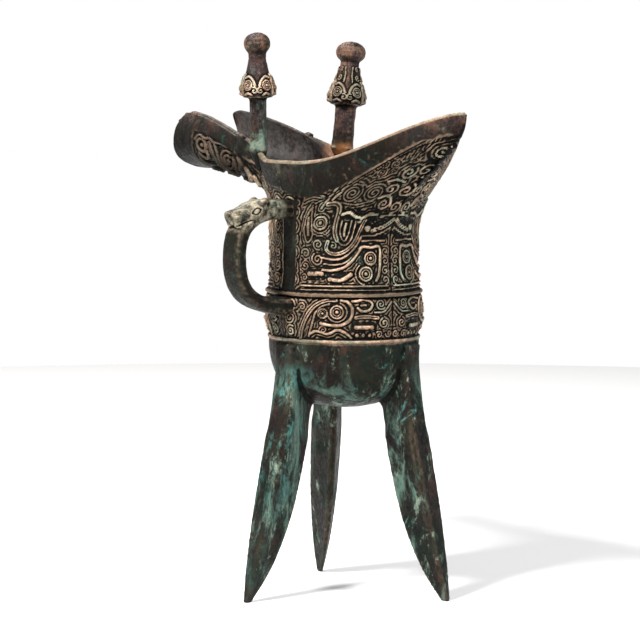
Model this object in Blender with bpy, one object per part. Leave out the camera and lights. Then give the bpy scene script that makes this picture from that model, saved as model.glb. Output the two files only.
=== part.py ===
"""A bronze libation cup on three blade legs, cast in one piece.

+Z is up and the origin is on the floor under the middle of the whole cup. The pointed tail runs to
+X, the open spout to -X, and the handle with its beast head stands out to -Y over one of the legs.
The shapes are worked out about the bowl's own axis, and the finished cup is then moved.
"""

import math

import bmesh
import bpy
import numpy as np
from mathutils import Vector

MM = 0.001

# The bowl.
WALL = 2.6 * MM
BODY_RADIUS = 30.0 * MM  # mean radius at the waist
BELLY_SWELL = 1.9 * MM  # how far the lower band swells past the waist
OVAL = 0.04  # the oval is this share longer along X, and as much shorter along Y
BOTTOM_HEIGHT = 75.0 * MM  # underside of the bowl
BAND_HEIGHT = 102.6 * MM  # lower edge of the lower decorated band
DIVIDER_HEIGHT = 121.6 * MM  # ridge between the two decorated bands
SHOULDER_HEIGHT = 143.0 * MM  # where the wall starts to flare
BAND_STEP = 0.4 * MM  # the plain bowl is set back this far under the band
RIDGE_WIDTH = 1.5 * MM
RIDGE_RISE = 0.6 * MM
BOTTOM_FULLNESS = 2.5  # exponent of the bowl's rounded underside, 2 is a plain ellipse

# The rim, which dips at the handle and rises to the spout and the tail.
RIM_HEIGHT = 173.4 * MM
RIM_HALF_WIDTH = 32.0 * MM
RIM_FLARE = 0.2
TAIL_LENGTH = 78.8 * MM
TAIL_RISE = 21.0 * MM
TAIL_RISE_START = 9.0 * MM
TAIL_RISE_SOFTNESS = 1.18
SPOUT_RISE = 18.5 * MM
SPOUT_RISE_START = 14.0 * MM
SPOUT_RISE_SOFTNESS = 0.8
RISE_OVERRUN = 6.0 * MM  # the rise levels off this far beyond each tip
TIP_ROUNDS = (5.0 * MM, 6.0 * MM)  # the rim's corners at tail and spout are rounded over this length
TIP_DROPS = (1.8 * MM, 2.2 * MM)  # and by this height

# The spout, a channel of U section.
SPOUT_ROOT = 50.0 * MM
SPOUT_LENGTH = 95.0 * MM
SPOUT_NOSE = 3.0 * MM  # the middle of the open end stands this far past its lips
ROOT_HALF_WIDTH = 20.0 * MM
ROOT_LIP = 17.6 * MM
TIP_HALF_WIDTH = 18.0 * MM
TIP_LIP = 13.2 * MM
ROOT_KEEL_DEPTH = 10.4 * MM  # the spout's underside lies this far below the rim's lowest height
TIP_KEEL_DEPTH = 6.1 * MM
KEEL_EASE = 2.5
WIDEST_SHARE = 0.5  # height of the channel's widest line, as a share of its depth
CHANNEL_FULLNESS = 2.3
LOWER_SHARE = 0.68  # share of the channel's outline that lies below its widest line
RIB_START = 14.5 * MM  # how far the wall keeps its upright course at the shoulder
RIB_END = 13.0 * MM  # how far it keeps the rim's own direction
TAIL_RIB_START = 19.0 * MM  # the same two under the tail
TAIL_RIB_END = 18.5 * MM
SPOUT_TURN_START = 20.0 * MM  # distance from the middle where the rim starts to lean to the spout
ROOT_ANGLE = math.radians(140)  # the spout takes in the bowl's wall from here to -X

# The legs: a flat outer face and an inner ridge.
LEG_ANGLES = (-90.0, 23.6, 156.0)
FOOT_RADIUS = 48.2 * MM
LEG_DEPTH = 16.8 * MM
LEG_HALF_WIDTH = 6.5 * MM
LEG_PROUD = 0.8 * MM  # the leg's face stands this far out of the bowl at its top
LEG_CURVE = 1.7  # how late the leg sweeps outwards
LEG_STRAIGHTENING = 0.78  # how much it stands up again towards the foot
DEPTH_TAPER = 4.0
WIDTH_TAPER = 3.0
FOOT_TAPER = 0.19  # share of the leg's section that is left at the floor

# The handle.
HANDLE_TOP_HEIGHT = 154.4 * MM
HANDLE_LOW_HEIGHT = 116.7 * MM
HANDLE_REACH = 52.7 * MM  # centre of the strap from the bowl's axis
STRAP_HALF_WIDTH = 5.6 * MM
STRAP_HALF_DEPTH = 3.0 * MM
HEAD_HALF_WIDTH = 6.2 * MM
HEAD_HALF_DEPTH = 4.3 * MM

# The two posts on the rim, each with a bell-shaped cap and a round knob.
POST_OFFSET = 29.8 * MM
POST_RADII = (3.8 * MM, 4.8 * MM)
POST_RISES = (50.6 * MM, 47.2 * MM)  # tops of the posts above the rim's lowest height
POST_LEANS = (1.0, 6.4)  # degrees towards +Y
POST_FOOT = 8.0 * MM
CAP_HEIGHT = 26.4 * MM
CAP_RADII = (7.6 * MM, 8.3 * MM)
KNOB_RADII = (5.9 * MM, 6.8 * MM)

# The bold relief.
RELIEF_RISE = 1.0 * MM
RELIEF_ROOT = 0.9 * MM
LINE_HALF_WIDTH = 1.05 * MM
BOSS_RADIUS = 2.6 * MM
SMALL_BOSS_RADIUS = 1.7 * MM

# Fineness of the mesh.
RIM_COLUMNS = 24
CHANNEL_COLUMNS = 6
CHANNEL_ROWS = 5
OUTER_RIB_ROWS = 7
INNER_RIB_ROWS = 4
OUTER_BOTTOM_ROWS = 5
INNER_BOTTOM_ROWS = 4

BRONZE = (0.105, 0.098, 0.082, 1.0)


def smooth(share):
    """Rises from 0 to 1 with level ends."""
    share = min(1.0, max(0.0, share))
    return share * share * (3 - 2 * share)


def mix(first, second, share):
    return first + (second - first) * share


def bezier(points, share):
    """A point on the cubic curve of four control points."""
    rest = 1 - share
    weights = (rest**3, 3 * rest**2 * share, 3 * rest * share**2, share**3)
    return sum((point * weight for point, weight in zip(points, weights)), Vector((0, 0, 0)))


# The outline of the bowl and its rim.


def body_radius(height):
    """Mean radius of the decorated wall: a straight waist over a gentle belly."""
    middle = mix(BAND_HEIGHT, DIVIDER_HEIGHT, 0.45)
    reach = SHOULDER_HEIGHT - middle if height > middle else 1.6 * (middle - BAND_HEIGHT)
    share = min(1.0, abs(height - middle) / (0.72 * reach))
    return BODY_RADIUS + BELLY_SWELL * (1 - smooth(share))


def oval(angle, height, radius, inset):
    return Vector(
        (
            (radius * (1 + OVAL) - inset) * math.cos(angle),
            (radius * (1 - OVAL) - inset) * math.sin(angle),
            height,
        )
    )


def rim_height(x):
    """Height of the rim over a place along X."""
    length = TAIL_LENGTH if x > 0 else SPOUT_LENGTH
    tip = 0 if x > 0 else 1
    corner = min(1.0, max(0.0, 1 - (length - abs(x)) / TIP_ROUNDS[tip]))
    low = RIM_HEIGHT - TIP_DROPS[tip] * (1 - math.sqrt(1 - corner * corner))
    if x > 0:
        share = max(0.0, (x - TAIL_RISE_START) / (TAIL_LENGTH + RISE_OVERRUN - TAIL_RISE_START))
        return low + TAIL_RISE * smooth(share**TAIL_RISE_SOFTNESS)
    share = max(0.0, (-x - SPOUT_RISE_START) / (SPOUT_LENGTH + RISE_OVERRUN - SPOUT_RISE_START))
    return low + SPOUT_RISE * smooth(share**SPOUT_RISE_SOFTNESS)


def along_spout(x):
    """0 at the spout's root and 1 at its lips."""
    return min(1.0, max(0.0, (-x - SPOUT_ROOT) / (SPOUT_LENGTH - SPOUT_ROOT)))


def rim_half_width(x):
    if x >= 0:
        return RIM_HALF_WIDTH * (1 - (x / TAIL_LENGTH) ** 2)
    return mix(RIM_HALF_WIDTH, ROOT_LIP, smooth(-x / (0.94 * SPOUT_ROOT)))


def inset_half_width(x, inset):
    """Half the rim's width, moved inwards square to the rim."""
    step = 0.2 * MM
    slope = (rim_half_width(x + step) - rim_half_width(x - step)) / (2 * step)
    return rim_half_width(x) - inset * math.sqrt(1 + slope * slope)


class Rim:
    """One side of the rim, from the tail's tip to the spout's root, by its share of the length."""

    SAMPLES = 400

    def __init__(self, inset):
        low, high = 0.0, TAIL_LENGTH
        for _ in range(50):
            middle = (low + high) / 2
            if inset_half_width(middle, inset) > 0:
                low = middle
            else:
                high = middle
        xs = np.linspace(low, -SPOUT_ROOT, self.SAMPLES)
        widths = [max(0.0, inset_half_width(x, inset)) for x in xs]
        self.points = np.array([(x, w, rim_height(x)) for x, w in zip(xs, widths)])
        steps = np.linalg.norm(np.diff(self.points, axis=0), axis=1)
        self.lengths = np.concatenate([[0.0], np.cumsum(steps)])

    def point(self, share):
        length = min(1.0, max(0.0, share)) * self.lengths[-1]
        return Vector([np.interp(length, self.lengths, self.points[:, i]) for i in range(3)])


# The spout.


def keel_height(x):
    ease = (1 - along_spout(x)) ** KEEL_EASE
    return RIM_HEIGHT - mix(TIP_KEEL_DEPTH, ROOT_KEEL_DEPTH, ease)


def channel_point(along, around, inset):
    """A point of the spout: along runs from its root to its end, around from the keel to the lip."""
    x = -mix(SPOUT_ROOT, SPOUT_LENGTH, along)
    keel = keel_height(x) + inset
    depth = rim_height(x) - keel
    half_width = mix(ROOT_HALF_WIDTH, TIP_HALF_WIDTH, along) - inset
    lip = mix(ROOT_LIP, TIP_LIP, along) - inset
    if around < LOWER_SHARE:
        turn = math.pi / 2 * around / LOWER_SHARE
        power = 2 / CHANNEL_FULLNESS
        width = half_width * math.sin(turn) ** power
        rise = WIDEST_SHARE * (1 - max(0.0, math.cos(turn)) ** power)
    else:
        share = (around - LOWER_SHARE) / (1 - LOWER_SHARE)
        width = mix(half_width, lip, share * share)
        rise = mix(WIDEST_SHARE, 1.0, share)
    nose = SPOUT_NOSE * along**4 * (1 - abs(2 * rise - 1) ** 4)
    return Vector((x - nose, width, keel + depth * rise))


# The flaring wall between the shoulder and the rim.


class Skin:
    """The bowl's surface at a depth under its outside. Angles run from the tail, 0, to the spout, pi."""

    def __init__(self, inset):
        self.inset = inset
        self.rim = Rim(inset)

    def rib(self, angle):
        """Control points of the wall's curve above the shoulder, on the +Y side."""
        start = oval(angle, SHOULDER_HEIGHT, BODY_RADIUS, self.inset)
        if angle <= ROOT_ANGLE:
            share = angle / ROOT_ANGLE
            end = self.rim.point(share)
            ahead = self.rim.point(share + 0.01) - self.rim.point(share - 0.01)
            outward = Vector((ahead.y, -ahead.x, 0)).normalized()
            up = (outward * RIM_FLARE + Vector((0, 0, 1))).normalized()
            turn = smooth((-end.x - SPOUT_TURN_START) / (SPOUT_ROOT - SPOUT_TURN_START))
            around = 1.0
        else:
            up, turn = Vector((0, 0, 1)), 1.0
            around = 1 - (angle - ROOT_ANGLE) / (math.pi - ROOT_ANGLE)
            end = channel_point(0, around, self.inset)
        flow = (channel_point(0.02, around, self.inset) - channel_point(0, around, self.inset)).normalized()
        course = up.lerp(flow, turn).normalized()
        to_tail = (1 + math.cos(angle)) / 2
        rise = Vector((0, 0, mix(RIB_START, TAIL_RIB_START, to_tail)))
        return start, start + rise, end - course * mix(RIB_END, TAIL_RIB_END, to_tail), end

    def point(self, angle, height):
        """A point by its angle and its height, counted up the wall as on the handle's side."""
        side = math.copysign(1, math.sin(angle)) if abs(math.sin(angle)) > 1e-9 else 1
        turn = math.acos(max(-1.0, min(1.0, math.cos(angle))))
        if height <= SHOULDER_HEIGHT:
            place = oval(turn, height, body_radius(height), self.inset)
        else:
            share = (height - SHOULDER_HEIGHT) / (RIM_HEIGHT - SHOULDER_HEIGHT)
            place = bezier(self.rib(turn), share)
        return Vector((place.x, side * place.y, place.z))

    def frame(self, angle, height):
        """The point there, the direction around the bowl and the outward direction."""
        step = 0.01
        here = self.point(angle, height)
        around = (self.point(angle + step, height) - self.point(angle - step, height)).normalized()
        upward = (self.point(angle, height + 0.5 * MM) - self.point(angle, height - 0.5 * MM)).normalized()
        return here, around, around.cross(upward).normalized()


# Making meshes.


def new_object(name, mesh_builder):
    mesh_data = bpy.data.meshes.new(name)
    bmesh.ops.recalc_face_normals(mesh_builder, faces=mesh_builder.faces)
    mesh_builder.to_mesh(mesh_data)
    mesh_builder.free()
    made = bpy.data.objects.new(name, mesh_data)
    bpy.context.scene.collection.objects.link(made)
    return made


def loft(builder, rings, closed=True):
    """Faces between rings of points, with both ends filled."""
    rows = [[builder.verts.new(point) for point in ring] for ring in rings]
    count = len(rows[0])
    for lower, upper in zip(rows, rows[1:]):
        for i in range(count if closed else count - 1):
            j = (i + 1) % count
            builder.faces.new((lower[i], lower[j], upper[j], upper[i]))
    builder.faces.new(rows[0])
    builder.faces.new(rows[-1])
    return rows


def boolean(target, tool, operation):
    """Cuts or joins tool with target and removes tool."""
    modifier = target.modifiers.new(tool.name, "BOOLEAN")
    modifier.object = tool
    modifier.operation = operation
    modifier.solver = "EXACT"
    modifier.use_self = operation == "UNION"
    bpy.context.view_layer.update()
    graph = bpy.context.evaluated_depsgraph_get()
    made = bpy.data.meshes.new_from_object(target.evaluated_get(graph))
    target.modifiers.clear()
    target.data = made
    bpy.data.objects.remove(tool)


# The bowl with its spout and tail.


def column_angles():
    """Angles of the mesh's columns from the tail to the spout's keel, on one side."""
    rim = [ROOT_ANGLE * i / RIM_COLUMNS for i in range(RIM_COLUMNS + 1)]
    root = math.pi - ROOT_ANGLE
    return rim + [ROOT_ANGLE + root * (i + 1) / CHANNEL_COLUMNS for i in range(CHANNEL_COLUMNS)]


def bottom_rows(inset):
    """Heights and radii of the plain rounded underside, from near its pole up to the band."""
    top = BAND_HEIGHT - RIDGE_WIDTH / 2
    radius = BODY_RADIUS + 0.4 * BELLY_SWELL - BAND_STEP
    power = 2 / BOTTOM_FULLNESS
    count = INNER_BOTTOM_ROWS if inset else OUTER_BOTTOM_ROWS
    rows = []
    for i in range(count):
        turn = math.pi / 2 * (1 - (i + 1) / count)
        height = top - (top - BOTTOM_HEIGHT - inset) * math.sin(turn) ** power
        share = math.cos(turn) ** power
        rows.append((height, radius, share))
    return rows


def wall_rows(inset):
    """Heights and radii of the decorated wall up to the shoulder, with two ridges on the outside."""
    if inset:
        heights = (BAND_HEIGHT + 2 * RIDGE_WIDTH, DIVIDER_HEIGHT, SHOULDER_HEIGHT)
        return [(height, body_radius(height), 1) for height in heights]
    rows = []
    for ridge in (BAND_HEIGHT + RIDGE_WIDTH / 2, DIVIDER_HEIGHT):
        low, high = ridge - RIDGE_WIDTH / 2, ridge + RIDGE_WIDTH / 2
        rows.append((low - 0.3 * RIDGE_WIDTH, body_radius(low), 1))
        rows.append((low, body_radius(low) + RIDGE_RISE, 1))
        rows.append((high, body_radius(high) + RIDGE_RISE, 1))
        rows.append((high + 0.4 * RIDGE_WIDTH, body_radius(high), 1))
        rows.append((mix(high, DIVIDER_HEIGHT if ridge < DIVIDER_HEIGHT else SHOULDER_HEIGHT, 0.5), None, 1))
    rows.append((SHOULDER_HEIGHT, body_radius(SHOULDER_HEIGHT), 1))
    rows = [(height, radius or body_radius(height), share) for height, radius, share in rows]
    return rows[1:]


def skin_vertices(builder, inset):
    """The vertices of one surface: its pole, its rows up to the rim, and the spout's rows."""
    skin = Skin(inset)
    half = column_angles()
    turns = [-angle for angle in half] + [angle for angle in half[-2:0:-1]]
    rows = []
    for height, radius, share in bottom_rows(inset) + wall_rows(inset):
        ring = []
        for angle in turns:
            edge = oval(angle, height, radius, inset)
            ring.append(builder.verts.new((edge.x * share, edge.y * share, height)))
        rows.append(ring)
    rib_rows = INNER_RIB_ROWS if inset else OUTER_RIB_ROWS
    for i in range(rib_rows):
        share = (i + 1) / rib_rows
        height = mix(SHOULDER_HEIGHT, RIM_HEIGHT, share)
        rows.append([builder.verts.new(skin.point(angle, height)) for angle in turns])
    pole = builder.verts.new((0, 0, BOTTOM_HEIGHT + inset))
    first = RIM_COLUMNS
    channel = [rows[-1][first : first + 2 * CHANNEL_COLUMNS + 1]]
    for i in range(CHANNEL_ROWS):
        along = 1 - (1 - (i + 1) / CHANNEL_ROWS) ** 1.5
        row = []
        for j in range(-CHANNEL_COLUMNS, CHANNEL_COLUMNS + 1):
            place = channel_point(along, abs(j) / CHANNEL_COLUMNS, inset)
            row.append(builder.verts.new((place.x, math.copysign(place.y, j), place.z)))
        channel.append(row)
    return pole, rows, channel


def rim_loop(rows, channel):
    """The vertices of a surface's free edge, in order round the rim and the spout's open end."""
    count = len(rows[-1])
    near = rows[-1][: RIM_COLUMNS + 1]
    far = rows[-1][count - RIM_COLUMNS :]
    near_lip = [row[0] for row in channel[1:]]
    far_lip = [row[-1] for row in channel[-2:0:-1]]
    return near + near_lip + channel[-1][1:] + far_lip + [rows[-1][count - RIM_COLUMNS]] + far[1:]


def add_surface(builder, inset):
    pole, rows, channel = skin_vertices(builder, inset)
    count = len(rows[0])
    for i in range(count):
        builder.faces.new((pole, rows[0][i], rows[0][(i + 1) % count]))
    for lower, upper in zip(rows, rows[1:]):
        for i in range(count):
            j = (i + 1) % count
            builder.faces.new((lower[i], lower[j], upper[j], upper[i]))
    for lower, upper in zip(channel, channel[1:]):
        for i in range(len(lower) - 1):
            builder.faces.new((lower[i], lower[i + 1], upper[i + 1], upper[i]))
    return rim_loop(rows, channel)


def make_bowl():
    """The open bowl with its wall, spout and tail, as one closed surface."""
    builder = bmesh.new()
    outer = add_surface(builder, 0.0)
    inner = add_surface(builder, WALL)
    for i in range(len(outer)):
        j = (i + 1) % len(outer)
        builder.faces.new((outer[i], outer[j], inner[j], inner[i]))
    return new_object("libation_cup", builder)


def bowl_core(inset):
    """A solid of the bowl's lower inside, to trim the legs with."""
    builder = bmesh.new()
    rings = []
    for height, radius, share in bottom_rows(inset) + wall_rows(inset)[:2]:
        angles = [2 * math.pi * i / 48 for i in range(48)]
        edges = [oval(angle, height, radius, inset) for angle in angles]
        rings.append([Vector((edge.x * share, edge.y * share, height)) for edge in edges])
    rings[0] = [Vector((point.x, point.y, BOTTOM_HEIGHT + inset)) for point in rings[0]]
    loft(builder, rings)
    return new_object("core", builder)


# The legs.


def leg_ring(angle, height):
    """The six corners of a leg's section at a height: a flat outer face and a blunt inner ridge."""
    top = BAND_HEIGHT - RIDGE_WIDTH
    local = oval(angle, 0, BODY_RADIUS + 0.4 * BELLY_SWELL - BAND_STEP, 0).length + LEG_PROUD
    drop = 1 - height / top
    outer = mix(local, FOOT_RADIUS, drop**LEG_CURVE * (1 + LEG_STRAIGHTENING * (1 - drop)))
    point = 1 - min(1.0, height / BOTTOM_HEIGHT)
    depth = LEG_DEPTH * mix(FOOT_TAPER, 1.0, 1 - point**DEPTH_TAPER)
    half = LEG_HALF_WIDTH * mix(FOOT_TAPER, 1.0, 1 - point**WIDTH_TAPER)
    section = (
        (outer, -0.82 * half),
        (outer, 0.82 * half),
        (outer - 0.13 * depth, half),
        (outer - depth, 0.2 * half),
        (outer - depth, -0.2 * half),
        (outer - 0.13 * depth, -half),
    )
    radial = Vector((math.cos(angle), math.sin(angle), 0))
    across = Vector((-math.sin(angle), math.cos(angle), 0))
    lift = Vector((0, 0, height))
    return [radial * out + across * side + lift for out, side in section]


def make_leg(degrees):
    builder = bmesh.new()
    shares = (0, 0.02, 0.06, 0.12, 0.2, 0.3, 0.42, 0.56, 0.72, 1)
    top = BAND_HEIGHT - RIDGE_WIDTH
    loft(builder, [leg_ring(math.radians(degrees), top * share) for share in shares])
    leg = new_object("leg", builder)
    boolean(leg, bowl_core(WALL / 2), "DIFFERENCE")
    return leg


# The handle.


def handle_course():
    """Centre line of the strap from its upper to its lower root, as distances from the axis and heights."""
    inside = BODY_RADIUS * (1 - OVAL) - 0.4 * WALL
    reach, top, low = HANDLE_REACH, HANDLE_TOP_HEIGHT, HANDLE_LOW_HEIGHT
    upper = [Vector((inside, top, 0)), Vector((mix(inside, reach, 0.75), top, 0))]
    upper += [Vector((reach, mix(low, top, 0.86), 0)), Vector((reach, mix(low, top, 0.52), 0))]
    lower = [Vector((reach, mix(low, top, 0.52), 0)), Vector((reach, mix(low, top, 0.14), 0))]
    lower += [Vector((mix(inside, reach, 0.72), low, 0)), Vector((inside, low, 0))]
    steps = 7
    first = [bezier(upper, i / steps) for i in range(steps)]
    return first + [bezier(lower, i / steps) for i in range(steps + 1)]


def section_ring(centre, normal, half_width, half_depth, sides=8):
    """A rounded square section across the handle: centre and normal lie in the handle's plane."""
    ring = []
    for i in range(sides):
        turn = 2 * math.pi * (i + 0.5) / sides
        across = math.copysign(abs(math.cos(turn)) ** 0.7, math.cos(turn)) * half_width
        out = math.copysign(abs(math.sin(turn)) ** 0.7, math.sin(turn)) * half_depth
        place = centre + normal * out
        ring.append(Vector((across, -place.x, place.y)))
    return ring


def make_strap():
    course = handle_course()
    rings = []
    for i, centre in enumerate(course):
        ahead = course[min(i + 1, len(course) - 1)] - course[max(i - 1, 0)]
        normal = Vector((-ahead.y, ahead.x, 0)).normalized()
        rings.append(section_ring(centre, normal, STRAP_HALF_WIDTH, STRAP_HALF_DEPTH))
    builder = bmesh.new()
    loft(builder, rings)
    return new_object("strap", builder)


def make_head():
    """The beast's head on the top of the handle: neck, crown, brow, cheeks and snout."""
    inside = BODY_RADIUS * (1 - OVAL) - 0.3 * WALL
    reach = HANDLE_REACH + 0.7 * STRAP_HALF_DEPTH
    stations = (
        (0.0, 0.1, 0.8, 0.95),
        (0.3, 0.15, 0.78, 0.9),
        (0.5, 0.12, 0.92, 0.95),
        (0.66, -0.1, 1.0, 0.92),
        (0.82, -0.45, 0.82, 0.76),
        (0.95, -0.58, 0.72, 0.7),
        (1.0, -0.66, 0.6, 0.56),
    )
    rings = []
    for share, drop, wide, deep in stations:
        centre = Vector((mix(inside, reach, share), HANDLE_TOP_HEIGHT + drop * HEAD_HALF_DEPTH, 0))
        normal = Vector((0.35 * smooth(share), 1, 0)).normalized()
        rings.append(section_ring(centre, normal, wide * HEAD_HALF_WIDTH, deep * HEAD_HALF_DEPTH))
    builder = bmesh.new()
    loft(builder, rings)
    return new_object("head", builder)


def make_knob(name, centre, radii):
    """A small faceted ellipsoid, for ears and eyes."""
    builder = bmesh.new()
    bmesh.ops.create_icosphere(builder, subdivisions=2, radius=1.0)
    for vertex in builder.verts:
        vertex.co = Vector((vertex.co[i] * radii[i] for i in range(3))) + centre
    return new_object(name, builder)


def make_head_knobs():
    """Two horns on the crown and two bulging eyes."""
    knobs = []
    inside = BODY_RADIUS * (1 - OVAL)
    for side in (-1, 1):
        horn = Vector(
            (
                side * 0.62 * HEAD_HALF_WIDTH,
                -mix(inside, HANDLE_REACH, 0.5),
                HANDLE_TOP_HEIGHT + 0.9 * HEAD_HALF_DEPTH,
            )
        )
        knobs.append(make_knob("horn", horn, (2.0 * MM, 2.4 * MM, 1.7 * MM)))
        eye = Vector(
            (
                side * 0.86 * HEAD_HALF_WIDTH,
                -mix(inside, HANDLE_REACH, 0.74),
                HANDLE_TOP_HEIGHT - 0.05 * HEAD_HALF_DEPTH,
            )
        )
        knobs.append(make_knob("eye", eye, (1.3 * MM, 1.9 * MM, 1.6 * MM)))
    return knobs


# The posts.


def make_post(which, side):
    """A post that straddles the rim, with a bell-shaped cap and a knob turned as one form."""
    radius, top = POST_RADII[which], RIM_HEIGHT + POST_RISES[which]
    cap, knob = CAP_RADII[which], KNOB_RADII[which]
    base_y = rim_half_width(-POST_OFFSET) - WALL / 2
    rim = rim_height(-POST_OFFSET)
    skirt = top - CAP_HEIGHT
    outline = (
        (rim - POST_FOOT, 0.3 * WALL),
        (rim - 0.4 * POST_FOOT, 0.62 * radius),
        (rim + 0.5 * MM, 1.12 * radius),
        (rim + 5.0 * MM, radius),
        (skirt + 0.01 * CAP_HEIGHT, radius),
        (skirt + 0.03 * CAP_HEIGHT, 0.78 * cap),
        (skirt + 0.12 * CAP_HEIGHT, cap),
        (skirt + 0.24 * CAP_HEIGHT, 0.88 * cap),
        (skirt + 0.45 * CAP_HEIGHT, 0.62 * cap),
        (skirt + 0.68 * CAP_HEIGHT, 0.48 * cap),
        (skirt + 0.72 * CAP_HEIGHT, 0.8 * knob),
        (skirt + 0.84 * CAP_HEIGHT, knob),
        (skirt + 0.94 * CAP_HEIGHT, 0.8 * knob),
        (top, 0.3 * knob),
    )
    sides = 10
    lean = math.radians(POST_LEANS[which])
    rings = []
    for height, size in outline:
        rise = height - rim
        ring = []
        for i in range(sides):
            turn = 2 * math.pi * (i + 0.5) / sides
            out = size * math.sin(turn)
            x = size * math.cos(turn) - POST_OFFSET
            y = side * (base_y + out * math.cos(lean) + rise * math.sin(lean))
            ring.append(Vector((x, y, rim + rise * math.cos(lean) - out * math.sin(lean))))
        rings.append(ring)
    builder = bmesh.new()
    loft(builder, rings)
    return new_object("post", builder)


# The bold relief on the bands, drawn once for a quarter of the bowl and mirrored round it.

UPPER_LINES = (
    ((40, 152), (40, 145.5), (43, 139.5), (50, 137), (57, 139.5), (61.5, 144.5), (63.5, 151)),
    ((46.5, 151), (47, 145.5), (51, 143), (55, 145.5), (56.5, 150)),
    ((37, 132.5), (48, 132.3), (58, 134.6), (66, 139.5), (69, 145)),
    ((24, 127), (38, 127.2)),
    ((43, 127.2), (52, 127.2), (61, 127.6)),
    ((49, 155), (57, 157.5), (66, 156.5), (74, 152)),
    ((33.5, 154.5), (33.5, 160)),
)
UPPER_BOSSES = ((33.5, 148.5, 1), (75.5, 134.5, 0), (71, 128.2, 0), (23, 145, 0), (23, 136, 0))
LOWER_LINES = (
    ((33.5, 107.5), (34, 113.5), (38, 117.6), (46, 118.2), (53, 116.4), (57, 111.5), (56, 107)),
    ((62, 111), (70, 111.2), (78, 111)),
    ((61, 106.4), (68, 106.6), (75, 106.4)),
)
LOWER_BOSSES = ((39.5, 112.6, 0), (47.5, 111.8, 1), (68.5, 116, 0), (82, 116.2, 0))
QUARTERS = ((-90, 1), (-90, -1), (90, 1), (90, -1))


def add_line(builder, skin, places):
    """A raised line that follows the wall: places are angles in degrees and heights in millimetres."""
    frames = [skin.frame(math.radians(angle), height * MM) for angle, height in places]
    rings = []
    for i, (here, _, out) in enumerate(frames):
        ahead = frames[min(i + 1, len(frames) - 1)][0] - frames[max(i - 1, 0)][0]
        side = out.cross(ahead).normalized()
        foot, crest = side * LINE_HALF_WIDTH * 1.25, side * LINE_HALF_WIDTH * 0.75
        low, high = here - out * RELIEF_ROOT, here + out * RELIEF_RISE
        rings.append([low - foot, low + foot, high + crest, high - crest])
    loft(builder, rings)


def add_boss(builder, skin, angle, height, radius):
    """A raised round boss."""
    here, around, out = skin.frame(math.radians(angle), height * MM)
    up = out.cross(around)
    sides = 8 if radius == BOSS_RADIUS else 6
    rings = []
    for lift, share in ((-RELIEF_ROOT, 1.2), (1.1 * RELIEF_RISE, 0.7)):
        ring = []
        for i in range(sides):
            turn = 2 * math.pi * i / sides
            spoke = around * math.cos(turn) + up * math.sin(turn)
            ring.append(here + out * lift + spoke * radius * share)
        rings.append(ring)
    loft(builder, rings)


def make_relief():
    skin = Skin(0.0)
    builder = bmesh.new()
    for centre, way in QUARTERS:
        for line in UPPER_LINES + LOWER_LINES:
            add_line(builder, skin, [(centre + way * turn, height) for turn, height in line])
        for turn, height, large in UPPER_BOSSES + LOWER_BOSSES:
            radius = BOSS_RADIUS if large else SMALL_BOSS_RADIUS
            add_boss(builder, skin, centre + way * turn, height, radius)
    return new_object("relief", builder)


def stand_on_middle(cup):
    """Moves the cup so that the origin is under the middle of its whole extent."""
    places = [vertex.co for vertex in cup.data.vertices]
    low = Vector([min(place[i] for place in places) for i in range(3)])
    high = Vector([max(place[i] for place in places) for i in range(3)])
    shift = Vector((-(low.x + high.x) / 2, -(low.y + high.y) / 2, -low.z))
    for vertex in cup.data.vertices:
        vertex.co += shift


def bronze():
    material = bpy.data.materials.new("patinated_bronze")
    material.use_nodes = True
    shader = material.node_tree.nodes["Principled BSDF"]
    shader.inputs["Base Color"].default_value = BRONZE
    shader.inputs["Roughness"].default_value = 0.55
    shader.inputs["Metallic"].default_value = 0.6
    return material


def main():
    for old in list(bpy.data.objects):
        bpy.data.objects.remove(old)
    cup = make_bowl()
    additions = [make_leg(degrees) for degrees in LEG_ANGLES]
    additions += [make_strap(), make_head(), *make_head_knobs()]
    additions += [make_post(0, -1), make_post(1, 1), make_relief()]
    for addition in additions:
        boolean(cup, addition, "UNION")
    stand_on_middle(cup)
    cup.data.materials.append(bronze())
    cup.data.shade_smooth()
    cup.data.set_sharp_from_angle(angle=math.radians(35))


main()
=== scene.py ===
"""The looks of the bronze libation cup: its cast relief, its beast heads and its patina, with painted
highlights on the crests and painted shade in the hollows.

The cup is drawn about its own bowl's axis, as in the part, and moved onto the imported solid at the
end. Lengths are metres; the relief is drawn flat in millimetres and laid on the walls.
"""

import functools
import itertools
import math

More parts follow.
